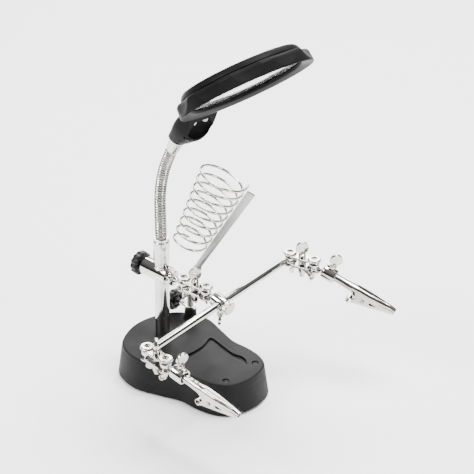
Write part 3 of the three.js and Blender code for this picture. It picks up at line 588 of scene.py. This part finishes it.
def spade(screw_radius, shank, disc_radius, degrees):
    """A thumbscrew: its tip at z = 0, a necked shoulder, and a flat round head standing along +Z."""
    r = screw_radius
    neck = shank + 3.1
    stem = lathe(rounded([(0, 0), (0, r), (shank, r), (shank, r + 1.1), (shank + 2, r + 1),
                          (shank + 2.5, r - 0.2), (neck, r - 0.2), (shank + 4.4, r + 0.2),
                          (shank + 4.4, 0)], 0.25), "z", 40)
    half = SPADE_THICK / 2
    disc = lathe(rounded([(-half, 0), (-half, disc_radius), (half, disc_radius), (half, 0)], 0.55), "y", 64)
    disc.transform(shift(z=neck + disc_radius * 0.9))
    return moved(join(stem, disc), turn(degrees, "Z"))


def wing_nut():
    """Two blades folded out of one pressed strip: each is a dished leaf hanging from the hub."""
    hub = lathe(rounded([(-6.4, 2.3), (-6.4, 2.9), (-0.6, 4.1), (0, 4.1), (0, 2.3)], 0.3), "z", 48)
    wings = []
    for side in (0, 180):
        rings = []
        for k in range(25):
            t = k / 24
            # down the blade: out from the hub, over the shoulder and down to the rounded end
            reach = 2.4 + (WING_SPAN - 2.8) * math.sin(min(1.0, t * 1.5) * math.pi / 2)
            level = -0.9 - 9.2 * max(0.0, t - 0.12) ** 1.15
            half = 3.8 * math.sqrt(max(0.03, 1 - (2 * t - 1.0) ** 4)) if t > 0.5 else 3.8 - 0.9 * (1 - 2 * t)
            ring = []
            for j in range(9):
                v = j / 4 - 1
                ring.append((reach - 1.6 * (1 - v * v), v * half, level - 0.5 * (1 - v * v)))
            rings.append(ring)
        wings.append(moved(folded_sheet(rings, 0.9), turn(side, "Z")))
    return join(hub, *wings)


def clamp_plate(spacing):
    """A pressed plate, outside face up: round ends raised over the balls, each with a hole for its ball."""
    half = 5.9
    waist = 4.9
    outline = circle(half, spacing, 0, 24, -118, 118) + circle(half, 0, 0, 24, 62, 298)
    middle = slab(2, spacing - 2, -waist, waist, -PLATE_THICK / 2, PLATE_THICK / 2, 0.4)
    sheet = cut_from_sheet([rounded(outline, 3, 4, closed=True)], PLATE_THICK, 0.45)
    sheet = join(sheet, middle)
    sheet.transform(shift(z=PLATE_LEVEL))
    cups = []
    for x in (0, spacing):
        cup = lathe(rounded([(4.2, 0), (4.2, 5.75), (5.6, 5.6), (6.3, 5.1), (6.3, 0)], 0.35), "z", 56)
        cups.append(moved(cup, shift(x)))
    seats = [moved(cylinder(2.3, 0, 9, "z", 40), shift(spacing / 2))]
    for x in (0, spacing):
        seat = lathe([(0, 0), (0, 6.1), (4.35, 6.1), (3.37, 3.7), (4.4, 2.6), (6.0, 2.8), (7, 3.1), (7, 0)],
                     "z", 56)
        seats.append(moved(seat, shift(x)))
    return cut(join(sheet, *cups), *seats)


def build_clamp(side, first, second, normal, head_degrees, wing_degrees):
    start, end = pos(first), pos(second)
    spacing = (end - start).length / MM
    where = place(start, end - start, normal)
    body = f"{side}_clamp"
    for level, flip in (("upper", 0), ("lower", 180)):
        plate = moved(clamp_plate(spacing), turn(flip, "X"))
        piece(f"{side}_{level}_cheek", plate, where, NICKEL, body, [f"{side}_{level}_plate"])
    middle = shift(spacing / 2)
    bolt = moved(spade(2, 19, 5.4, head_degrees), middle @ shift(z=-14))
    piece(f"{side}_spade_bolt", bolt, where, NICKEL, body, [f"{side}_bolt"])
    coil = tube(helix(3.0, 3.0, -2.6, 2.6, 3.5, 24), 0.4, 8)
    piece(f"{side}_clamp_spring", moved(coil, middle), where, STEEL, body)
    nut = moved(wing_nut(), middle @ shift(z=-5.2) @ turn(wing_degrees, "Z"))
    piece(f"{side}_wings", nut, where, NICKEL, f"{side}_wing_nut", [f"{side}_wing_nut"])


# ---- wires and tubes
def helix(radius_low, radius_high, low, high, turns, per_turn, phase=0.0):
    count = int(turns * per_turn)
    points = []
    for k in range(count + 1):
        t = k / count
        angle = phase + 2 * math.pi * turns * t
        r = radius_low + (radius_high - radius_low) * t
        points.append(Vector((r * math.cos(angle), r * math.sin(angle), low + (high - low) * t)))
    return points


def tube(points, radius, sides, swell=None):
    """A capped tube along points; swell(length, angle) may change its radius."""
    tangents = [(b - a).normalized() for a, b in zip([points[0], *points[:-1]], [*points[1:], points[-1]])]
    tangents[0] = (points[1] - points[0]).normalized()
    side = tangents[0].orthogonal().normalized()
    rings = []
    length = 0.0
    for i, (point, tangent) in enumerate(zip(points, tangents)):
        side = (side - tangent * side.dot(tangent)).normalized()
        other = tangent.cross(side)
        length += (point - points[i - 1]).length if i else 0.0
        ring = []
        for k in range(sides):
            angle = 2 * math.pi * k / sides
            r = swell(length, angle) if swell else radius
            ring.append(point + (side * math.cos(angle) + other * math.sin(angle)) * r)
        rings.append(ring)
    return loft(rings)


def smooth_path(knots, step):
    """Points every step along a Catmull-Rom curve through the knots."""
    padded = [2 * knots[0] - knots[1], *knots, 2 * knots[-1] - knots[-2]]
    fine = []
    for a, b, c, d in zip(padded, padded[1:], padded[2:], padded[3:]):
        fine += [through(a, b, c, d, k / 60) for k in range(60)]
    fine.append(knots[-1])
    out = [fine[0]]
    gone = 0.0
    for p, q in zip(fine, fine[1:]):
        gone += (q - p).length
        if gone >= step:
            out.append(q)
            gone = 0.0
    if (out[-1] - fine[-1]).length > step * 0.4:
        out.append(fine[-1])
    return out


# ---- clip sockets and crocodile clips
CLIP_START = 20.8  # from a socket's ball to the clip's own zero
CLIP_LENGTH = 57.0
BARREL_END = -7.5
SHEET_STEP = 0.8
TOOTH = 0.45
TEETH_FROM = 40
PIVOT = (28.8, 0, -4.8)
FINGER_END = 18.7


def follow(value, stops, soft=True):
    """The height of a line through (x, height) stops, eased between them."""
    for (x0, a), (x1, b) in zip(stops, stops[1:]):
        if value <= x1:
            t = max(0.0, (value - x0) / (x1 - x0))
            t = t * t * (3 - 2 * t) if soft else t
            return a + (b - a) * t
    return stops[-1][1]


def stations(start):
    """Places along a clip, one sheet step apart, up to its tip."""
    places = [start]
    while places[-1] + SHEET_STEP <= CLIP_LENGTH + 0.01:
        places.append(places[-1] + SHEET_STEP)
    return places


def tooth(x):
    """How far the edge steps at x: a tooth's depth and nothing by turns."""
    return TOOTH * (int((x + 100) / SHEET_STEP) % 2)


def clip_section(x):
    """Half width, top, and how far down the sides reach, of the folded upper jaw at x."""
    width = follow(x, [(12, 3.7), (23, 4.2), (30, 4.2), (57, 2.2)])
    top = follow(x, [(12, 3.7), (20, 4.4), (50, 4.4), (57, 3.5)])
    drop = follow(x, [(12, -3.4), (20, -3.8), (25.4, -7.2), (31.6, -7.2), (35.4, -2.0), (37.5, 0.0),
                      (57, 1.1)])
    return width, top, drop


def clip_ring(x, openness, width, top, drop):
    """The path of the sheet's section: a rolled tube behind, a channel open below in front."""
    points = []
    for k in range(33):
        t = k / 32 * 2 - 1
        angle = math.pi / 2 - t * math.radians(168)
        barrel = follow(x, [(-8, 3.1), (6, 3.1), (16, 3.5), (22, 3.7)])
        round_point = Vector((x, barrel * math.cos(angle), barrel * math.sin(angle)))
        radius = min(width, 2.6)
        flat = width - radius
        arc = radius * math.pi / 2
        s = abs(t) * (flat + arc + top - radius - drop)
        if s < flat:
            y, z = s, top
        elif s < flat + arc:
            a = (s - flat) / radius
            y, z = flat + radius * math.sin(a), top - radius * (1 - math.cos(a))
        else:
            y, z = width, top - radius - (s - flat - arc)
        channel = Vector((x, math.copysign(y, t), z))
        points.append(round_point.lerp(channel, openness))
    return points


def folded_sheet(rings, thickness):
    """A skin through open paths, thickened by half to each side."""
    bm = bmesh.new()
    rows = [[bm.verts.new(p) for p in ring] for ring in rings]
    for low, high in zip(rows, rows[1:]):
        for k in range(len(low) - 1):
            bm.faces.new((low[k], low[k + 1], high[k + 1], high[k]))
    bmesh.ops.recalc_face_normals(bm, faces=bm.faces)
    skin = as_object(bm, "sheet")
    solidify = skin.modifiers.new("thickness", "SOLIDIFY")
    solidify.thickness = thickness
    solidify.offset = 0
    bpy.context.view_layer.update()
    mesh = bpy.data.meshes.new_from_object(skin.evaluated_get(bpy.context.evaluated_depsgraph_get()))
    result = bmesh.new()
    result.from_mesh(mesh)
    bpy.data.objects.remove(skin)
    bpy.data.meshes.remove(mesh)
    bmesh.ops.recalc_face_normals(result, faces=result.faces)
    return result


def pin_hole():
    return moved(cylinder(1.2, -7, 7, "y", 24), shift(*PIVOT))


def upper_jaw():
    """The fixed jaw and its barrel, folded from one sheet, with three round holes above."""
    rings = []
    thickness = 0.7
    inset = thickness / 2
    for x in stations(BARREL_END):
        width, top, drop = clip_section(x)
        openness = min(1.0, max(0.0, (x - 13) / 8))
        teeth = tooth(x) if TEETH_FROM < x < CLIP_LENGTH - 1 else 0
        rings.append(clip_ring(x, openness, width - inset, top - inset, drop + teeth))
    body = folded_sheet(rings, thickness)
    holes = [moved(cylinder(1.0, 1, 7, "z", 24), shift(at)) for at in (4, 8.4, 13)]
    return cut(body, *holes, pin_hole())


def lower_jaw():
    """The sprung jaw: a narrow channel, open above, that runs back and down to the finger loop."""
    bottom_line = [(FINGER_END, -13.6), (22, -11.9), (35, -8.1), (46, -4.7), (57, -1.6)]
    upper_line = [(FINGER_END, -13.0), (20.8, -9.2), (24.5, -4.6), (27, -2.9), (31, -2.6), (34.5, -2.4),
                  (37, -0.7), (57, 0.7)]
    fold = 0.5
    # shares of a half section: the flat floor up to one, the fold up to the other, then the side
    floor_share, side_share = 0.34, 0.5
    rings = []
    for x in stations(FINGER_END):
        half = follow(x, [(18, 2.35), (36, 2.35), (57, 1.65)], False)
        bottom = follow(x, bottom_line, False)
        upper = follow(x, upper_line, False)
        if x > TEETH_FROM:
            upper -= tooth(x)
        ring = []
        for k in range(25):
            v = k / 12 - 1
            if abs(v) < floor_share:
                y, z = v / floor_share * (half - fold), bottom
            elif abs(v) < side_share:
                a = (abs(v) - floor_share) / 0.16 * math.pi / 2
                y, z = math.copysign(half - fold + fold * math.sin(a), v), bottom + fold * (1 - math.cos(a))
            else:
                low = min(bottom + fold, upper)
                y, z = math.copysign(half, v), low + (upper - low) * (abs(v) - side_share) / 0.5
            ring.append(Vector((x, y, z)))
        rings.append(ring)
    body = folded_sheet(rings, 0.6)
    opening = rounded([(34.4, -4.9), (36, -5.3), (42, -3.2), (34.4, -3.0)], 0.5, 3, closed=True)
    window = moved(cut_from_sheet([opening], 12, 0.05), turn(90, "X"))
    return cut(body, window, pin_hole())


def finger_tab():
    """The lower jaw's end, rolled round into a loop that a finger presses."""
    rings = []
    for k in range(22):
        angle = math.radians(-62 - 12 * k)
        rings.append([Vector((17.8 + 2.5 * math.cos(angle), y, -11.4 + 2.5 * math.sin(angle)))
                      for y in (-2.6, -1.3, 0, 1.3, 2.6)])
    return folded_sheet(rings, 0.7)


def clip_pin():
    return lathe(rounded([(-5, 0), (-5, 1.8), (-4.4, 1.8), (-4.4, 1.05), (4.4, 1.05), (4.4, 1.8), (5, 1.8),
                          (5, 0)], 0.25), "y", 32)


SOCKET_SCREW_AT = 14.6  # along the socket, from its ball


def build_arm(side, spade_degrees):
    rod_axis = axis(f"{side}_rod_ball_roll")
    piece(f"{side}_rod_end_ball", sphere(BALL), place(pos(f"{side}_rod_ball_roll"), rod_axis, Z), CHROME,
          f"{side}_rod_ball", [f"{side}_rod_ball"])
    where = place(pos(f"{side}_socket_roll"), axis(f"{side}_socket_roll"), axis(f"{side}_socket_screw_turn"))
    piece(f"{side}_stem_ball", sphere(BALL), where, CHROME, f"{side}_socket_ball",
          [f"{side}_socket_ball"])
    body = lathe(rounded([(STUD_FOOT, 0), (STUD_FOOT, STUD), (7.5, STUD), (8.5, 5), (9.4, 6.1), (20.5, 6.1),
                          (20.5, 0)], 0.5), "x", 80)
    bores = [cylinder(4.7, 12, 23, "x", 56), moved(cylinder(2.1, 0, 9, "z", 32), shift(SOCKET_SCREW_AT))]
    piece(f"{side}_socket_body", cut(body, *bores), where, CHROME, f"{side}_socket",
          [f"{side}_clip_socket"])
    screw = moved(spade(1.9, 3.6, 5.4, spade_degrees), shift(SOCKET_SCREW_AT, 0, 4))
    piece(f"{side}_socket_spade", screw, where, NICKEL, f"{side}_socket_screw",
          [f"{side}_socket_screw"])
    clip = where @ shift(CLIP_START)
    piece(f"{side}_jaw_with_barrel", upper_jaw(), clip, NICKEL, f"{side}_clip",
          [f"{side}_clip_upper_jaw"])
    piece(f"{side}_pivot_pin", moved(clip_pin(), shift(*PIVOT)), clip, STEEL, f"{side}_clip",
          [f"{side}_clip_spring_pin"])
    coil = tube([p.xzy for p in helix(1.9, 1.9, -1.4, 1.4, 3.5, 20)], 0.35, 8)
    piece(f"{side}_jaw_spring", moved(coil, shift(*PIVOT)), clip, STEEL, f"{side}_clip")
    piece(f"{side}_sprung_jaw", lower_jaw(), clip, NICKEL, f"{side}_jaw",
          [f"{side}_clip_lower_jaw"])
    piece(f"{side}_finger_tab", finger_tab(), clip, NICKEL, f"{side}_jaw")


# ---- iron holder
HOLDER_LEAN = 32.9
HOLDER_AZIMUTH = 39.6
STEM_RADIUS = 2.7
BEND_HEIGHT = 66  # where the stem leans over, above the bench
COIL = {"turns": 8.75, "wire": 1.05, "bottom": 13.4, "top": 20.6, "length": 74.0, "lean": 25.2}
STRIP = {"foot": 4.8, "top": 7.4, "thick": 2.2, "length": 98.0, "coil_at": 27.0}


def leaning(lean):
    a, b = math.radians(lean), math.radians(HOLDER_AZIMUTH)
    return Vector((math.sin(a) * math.cos(b), math.sin(a) * math.sin(b), math.cos(a)))


def build_holder():
    foot = pos("holder_swivel")
    bend = Vector((foot.x, foot.y, BEND_HEIGHT * MM))
    strip_way, coil_way = leaning(HOLDER_LEAN), leaning(COIL["lean"])
    where = upright(foot.x, foot.y)
    path = smooth_path([Z * 30.5, Z * 48, Z * 62, Z * BEND_HEIGHT + strip_way * 4,
                        Z * BEND_HEIGHT + strip_way * 14], 0.8)
    stem = tube(path, STEM_RADIUS, 32)
    piece("holder_stem", stem, where, STEEL, "holder", ["holder_bar"])
    rings = []
    half = STRIP["thick"] / 2
    for k in range(34):
        t = k / 33
        inner = half - STRIP["foot"] - (STRIP["top"] - STRIP["foot"]) * t
        outline = rounded([(inner, -half), (half, -half), (half, half), (inner, half)], 0.45, 2, closed=True)
        rings.append([Vector((x, y, -2 + t * (STRIP["length"] + 2))) for x, y in outline])
    strip = loft(rings)
    across = strip_way.cross(Z).normalized()
    lay = place(bend, strip_way.cross(across), strip_way)
    piece("holder_strip", strip, lay, STEEL, "holder")

    inward = (coil_way - strip_way * coil_way.dot(strip_way)).normalized()
    spread = (STRIP["top"] - STRIP["foot"]) * STRIP["coil_at"] / STRIP["length"]
    away = COIL["bottom"] + COIL["wire"] + STRIP["foot"] + spread - half + 0.65
    start = bend + (strip_way * STRIP["coil_at"] + inward * away) * MM
    stand = Z.rotation_difference(coil_way)
    # the wire's upper end is fixed to the strip, so the last turn finishes on the strip's side
    fixed = stand.inverted() @ -inward
    turns = COIL["turns"]
    phase = math.atan2(fixed.y, fixed.x) - 2 * math.pi * turns
    path = helix(COIL["bottom"], COIL["top"], 0, COIL["length"], turns, 60, phase)
    hook = [path[0] * (1 - 0.012 * k * k) - Z * 0.12 * k for k in range(5, 0, -1)]
    wire = tube(hook + path, COIL["wire"], 12)
    lay = Matrix.Translation(start) @ stand.to_matrix().to_4x4() @ Matrix.Scale(MM, 4)
    piece("holder_coil", wire, lay, NICKEL, "holder", ["holder_spring"])

    where = place(pos("boss_knob_turn"), X, Z)
    grip = moved(knob_head(9.3, 6.8), shift(-15.6))
    piece("boss_grip", grip, where, BLACK_KNOB, "boss_knob", ["boss_knob"])
    screw = lathe(rounded([(-17, 0), (-17, 1.8), (-3.1, 1.8), (-3.1, 0)], 0.4), "x", 40)
    piece("boss_screw", screw, where, CHROME, "boss_knob")


# ---- gooseneck
HOSE_RADIUS = 4.9
RIB_PITCH = 2.4
RIB_DEPTH = 1.5
FLARE_PITCH = 62.8  # how steeply the hose meets the light, in degrees


def rib(length, angle):
    wave = 0.5 + 0.5 * math.cos(2 * math.pi * length / RIB_PITCH + angle)
    return HOSE_RADIUS - RIB_DEPTH * wave ** 2


def flare_direction():
    return turn(-FLARE_PITCH, "Y") @ X


def build_neck():
    post = centre("post")
    low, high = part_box("neck_lower_ferrule")
    length = (high.z - low.z) / MM
    ferrule = lathe(rounded([(0, 0), (0, 6.1), (3, 6.1), (3.4, 6.7), (length - 3, 6.7), (length - 2.4, 5.9),
                             (length, 5.9), (length, 0)], 0.5), "z", 96)
    piece("ferrule_on_post", ferrule, upright(post.x, post.y, low.z), CHROME, "neck_lower",
          ["neck_lower_ferrule"])
    first, second = pos("neck_bend"), pos("head_bend")
    flare_way = flare_direction()
    route = [Vector((post.x, 0, high.z)), first + Vector((0.0001, 0, -0.03)),
             first + Vector((-0.0002, 0, -0.015)), first, first + Vector((0.0022, 0, 0.015)),
             first + Vector((0.0059, 0, 0.0285)), second, second + flare_way * 0.0046]
    path = [p / MM for p in smooth_path(route, 0.00026)]
    middle = (first.z + 0.021) / MM
    half = next(i for i, p in enumerate(path) if p.z > middle)
    lower = tube(path[:half + 1], HOSE_RADIUS, 40, rib)
    upper = tube(path[half:], HOSE_RADIUS, 40, rib)
    lower = piece("hose_lower_stretch", lower, Matrix.Scale(MM, 4), HOSE, None,
                  ["neck_hose_lower"], 60)
    upper = piece("hose_upper_stretch", upper, Matrix.Scale(MM, 4), HOSE, None,
                  ["neck_hose_upper"], 60)
    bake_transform(lower)
    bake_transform(upper)
    flare = lathe(rounded([(4.4, 0), (4.4, 4.9), (5.2, 5.2), (8, 5.7), (15, 6.3), (17.9, 6.3), (17.9, 0)],
                          0.4), "x", 72)
    piece("ferrule_on_light", flare, place(second, flare_way, Z), CHROME, "head",
          ["neck_upper_ferrule"])


# ---- magnifier and light
LENS_SEAT = 4.8
LENS_MID = LENS_SEAT + 1.15
LENS_RADIUS = 47.3
RING_OUTER = 56.0
RING_HEIGHT = 12.0
GROOVE_STEP = 36
PLAIN_STEP = 5  # the step on the light's side has no groove
GROOVE_DEPTH = 2.2
GROOVE_REACH = (13, 11)  # half of its width, and how far it runs down


def head_place():
    """The magnifier's frame: +X runs to the front edge, +Z is the lens's upper side."""
    level = (centre("led_2") - centre("led_1")).normalized()
    x = axis("light_switch_slide").cross(level).normalized()
    z = x.cross(level)
    return place(centre("magnifier_lens") - z * LENS_MID * MM, x, z)


def thumb_groove(angle, radius, height):
    """The ring's radius after the nearest thumb groove, which bites deepest at the shoulder."""
    if radius < RING_OUTER - 5.5:
        return radius
    steps = math.degrees(angle) % 360 / GROOVE_STEP
    nearest = round(steps)
    if nearest == PLAIN_STEP:
        return radius
    across = (steps - nearest) * math.radians(GROOVE_STEP) * RING_OUTER
    wide, long = GROOVE_REACH
    depth = GROOVE_DEPTH * (1 - (across / wide) ** 2 - ((RING_HEIGHT + 0.5 - height) / long) ** 2)
    soft = 0.25
    bite = 0.5 * (depth + math.sqrt(depth * depth + soft * soft)) - 0.04
    return radius - max(0.0, bite)


def build_magnifier():
    where = head_place()
    wall = [(z, RING_OUTER - 0.8 * (z - 0.6) / 8.9) for z in (0.6, 1.8, 3, 4.2, 5.4, 6.6, 7.8, 9)]
    profile = [(2.4, 46.5), (0, 55.4), *wall, (10.4, 54.6), (11.6, 53.2), (RING_HEIGHT, 51),
               (RING_HEIGHT, 47.8), (LENS_SEAT, 47.8), (LENS_SEAT, 45.6)]
    ring = lathe(rounded(profile, 0.7, 3, closed=True), "z", 360, thumb_groove)
    piece("magnifier_ring", ring, where, BLACK_GLOSS, "head", ["lens_ring"])
    seat = LENS_SEAT + 2.6
    cap = [(seat, 45), (seat, 47.4), (12.2, 47.4), (12.2, 50.4), (14.4, 49.6), (16.3, 48.4), (17.8, 46.4),
           (16.7, 44.8)]
    cap_ring = lathe(rounded(cap, 0.7, 4, closed=True), "z", 200)
    piece("magnifier_cap_ring", cap_ring, where, BLACK_GLOSS, "head",
          ["lens_retaining_ring"])
    face = [(LENS_SEAT + 0.3 - 0.8 * (1 - (k / 16) ** 2), LENS_RADIUS * k / 16) for k in range(17)]
    back = [(LENS_SEAT + 2 + 2.9 * (1 - (k / 16) ** 2), LENS_RADIUS * k / 16) for k in range(17)]
    lens = lathe(face + list(reversed(back)), "z", 128)
    piece("magnifier_glass", lens, where, LENS_GLASS, "head", ["magnifier_lens"])
    build_light(where)


# Each section of the housing: its middle (x, z), how far it leans in degrees, its half width, and its
# reach up and down.
HUB_SECTIONS = [(-50, 2, 0, 15.6, 9.3, 15.6), (-66, 2, 0, 15.6, 9.3, 15.6), (-76, 1, 4, 14.8, 9.2, 14.6),
                (-84, -0.3, 10, 13, 8.3, 12.4), (-91.5, -1.9, 16, 10.4, 7.2, 9.9),
                (-98, -3, 22.8, 7.9, 6.8, 7.6)]
HUB_END = [(-99, -3.4, 22.8, 7.6, 6.6, 7.3), (-99.5, -3.6, 22.8, 7.1, 6.2, 6.9),
           (-99.7, -3.7, 22.8, 6.4, 5.6, 6.2)]
MOUTH_X = -61.0
MOUTH_LEAN = 38.7
ON_MOUTH = shift(MOUTH_X) @ turn(180 - MOUTH_LEAN, "Y")
ON_SLOT = shift(-77.5, -10, -9.6) @ turn(148, "X")


def hub_ring(section, count=112):
    """Flat above with rounded shoulders, and round below."""
    x, z, lean, half, up, down = section
    lean = math.radians(lean)
    ring = []
    for k in range(count):
        c, s = math.cos(2 * math.pi * k / count), math.sin(2 * math.pi * k / count)
        y = half * (math.copysign(abs(c) ** 0.6, c) if s > 0 else c)
        h = up * s ** 0.6 if s > 0 else down * s
        ring.append((x - h * math.sin(lean), y, z + h * math.cos(lean)))
    return ring


def eased_sections(sections, steps=4):
    """The same sections with smooth ones between them."""
    rows = [Vector(s) for s in sections]
    rows = [2 * rows[0] - rows[1], *rows, 2 * rows[-1] - rows[-2]]
    out = []
    for a, b, c, d in zip(rows, rows[1:], rows[2:], rows[3:]):
        out += [through(a, b, c, d, k / steps) for k in range(steps)]
    return [*out, rows[-2]]


def build_light(where):
    body = loft([hub_ring(s) for s in eased_sections(HUB_SECTIONS) + HUB_END])
    below = moved(slab(-40, 60, -30, 30, 0, 60), ON_MOUTH)
    bowl = moved(sphere(1, 32, 64), ON_MOUTH @ shift(10.5) @ Matrix.Diagonal((8.7, 12.9, 8, 1)))
    at_led = [shift(-5.5, side * 6.2, 0.1) @ ON_MOUTH for side in (-1, 1)]
    rooms = [moved(cylinder(2.75, -3.3, 12, "z", 40), lay) for lay in at_led]
    slot = moved(slab(-1, 1, -3.6, 3.6, -2, 4, 0.2), ON_SLOT)
    ferrule = moved(cylinder(6.6, 0, 18.3, "x", 64),
                    where.inverted() @ place(pos("head_bend"), flare_direction(), Z))
    tools = [cylinder(RING_OUTER + 0.25, -30, 30, "z", 240), below, bowl, *rooms, slot, ferrule]
    piece("light_body", cut(body, *tools), where, BLACK_GLOSS, "head",
          ["light_housing"])
    for number, lay in enumerate(at_led, 1):
        led = lathe(rounded([(-3, 0), (-3, 2.5), (0.2, 2.5), (1.1, 2.3), (1.9, 1.7), (2.4, 0.9), (2.6, 0)],
                            0.25), "z", 40)
        piece(f"light_led_{number}", moved(led, lay), where, LED_DOME, "head", [f"led_{number}"])
    slider = moved(slab(-0.7, 0.7, -1.3, 1.3, -1.7, 0.5, 0.15), ON_SLOT)
    piece("light_slider", slider, where, BLACK_KNOB, "light_switch", ["light_switch"])


# ---- hidden pieces keep their CAD shape
def finish_hidden():
    looks = {"base_plate": BLACK_SATIN, "battery_door": BLACK_SATIN, "foot_pad": RUBBER,
             "ballast_weight": CAST_IRON, "battery_cell_1": CELL_WRAP, "battery_cell_2": CELL_WRAP}
    for node, material in looks.items():
        mesh = frame["nodes"][node].data
        mesh.materials.clear()
        mesh.materials.append(material)


# ---- camera, light and floor
FOCAL_LENGTH = 185.3
EYE = Vector((1.16894, -1.24204, 1.11773))
VIEW = Vector((-0.58107, 0.64303, -0.49887))
LIT = Vector((0.0068, 0.0440, 0.1199))  # the spot that every lamp faces


def build_studio():
    scene = bpy.context.scene
    camera = bpy.data.cameras.new("camera")
    camera.lens = FOCAL_LENGTH
    camera.sensor_width = 36
    camera.clip_end = 30
    eye = bpy.data.objects.new("camera", camera)
    scene.collection.objects.link(eye)
    eye.location = EYE
    eye.rotation_euler = VIEW.to_track_quat("-Z", "Y").to_euler()
    scene.camera = eye

    floor = as_object(slab(-30, 30, -30, 30, -0.02, 0), "studio_floor")
    paper = surface("studio_paper", (0.95, 0.95, 0.95), (0.97, 0.97, 0.97), (0.7, 0.8), 0.0,
                    patch=2.0, bump=0.0)
    floor.data.materials.append(paper)

    world = bpy.data.worlds.new("studio")
    scene.world = world
    world.use_nodes = True
    nodes, links = world.node_tree.nodes, world.node_tree.links
    direction = nodes.new("ShaderNodeSeparateXYZ")
    links.new(nodes.new("ShaderNodeTexCoord").outputs["Generated"], direction.inputs["Vector"])
    sky = ramp(nodes, direction.outputs["Z"], (0.015, 0.015, 0.015), (0.30, 0.30, 0.31), 0.1, 0.95)
    links.new(sky, nodes["Background"].inputs["Color"])
    nodes["Background"].inputs["Strength"].default_value = 1.0

    def softbox(name, spot, size, power):
        light = bpy.data.lights.new(name, "AREA")
        light.shape = "RECTANGLE"
        light.size, light.size_y = size
        light.energy = power
        lamp = bpy.data.objects.new(name, light)
        scene.collection.objects.link(lamp)
        lamp.location = spot
        lamp.rotation_euler = (LIT - lamp.location).to_track_quat("-Z", "Y").to_euler()

    softbox("key_light", Vector((-0.9, -1.5, 1.7)), (0.8, 0.8), 62)
    softbox("fill_light", Vector((1.9, 0.3, 1.2)), (0.6, 0.6), 24)
    softbox("top_light", Vector((0.1, 0.5, 2.2)), (1.1, 1.1), 150)
    softbox("back_light", Vector((-1.4, 1.7, 1.6)), (1.6, 1.1), 70)


build_base()
build_collar()
build_clamp("centre", "collar_ball_roll", "sleeve_roll", axis("centre_clamp_swing"), 45, 30)
build_sleeve()
for arm_side, head_turn, wing_turn, spade_turn in (("left", -40, -8, 80), ("right", 40, -7, 30)):
    build_clamp(arm_side, f"{arm_side}_rod_ball_roll", f"{arm_side}_socket_roll",
                axis(f"{arm_side}_clamp_swing"), head_turn, wing_turn)
    build_arm(arm_side, spade_turn)
build_holder()
build_neck()
build_magnifier()
finish_hidden()
build_studio()
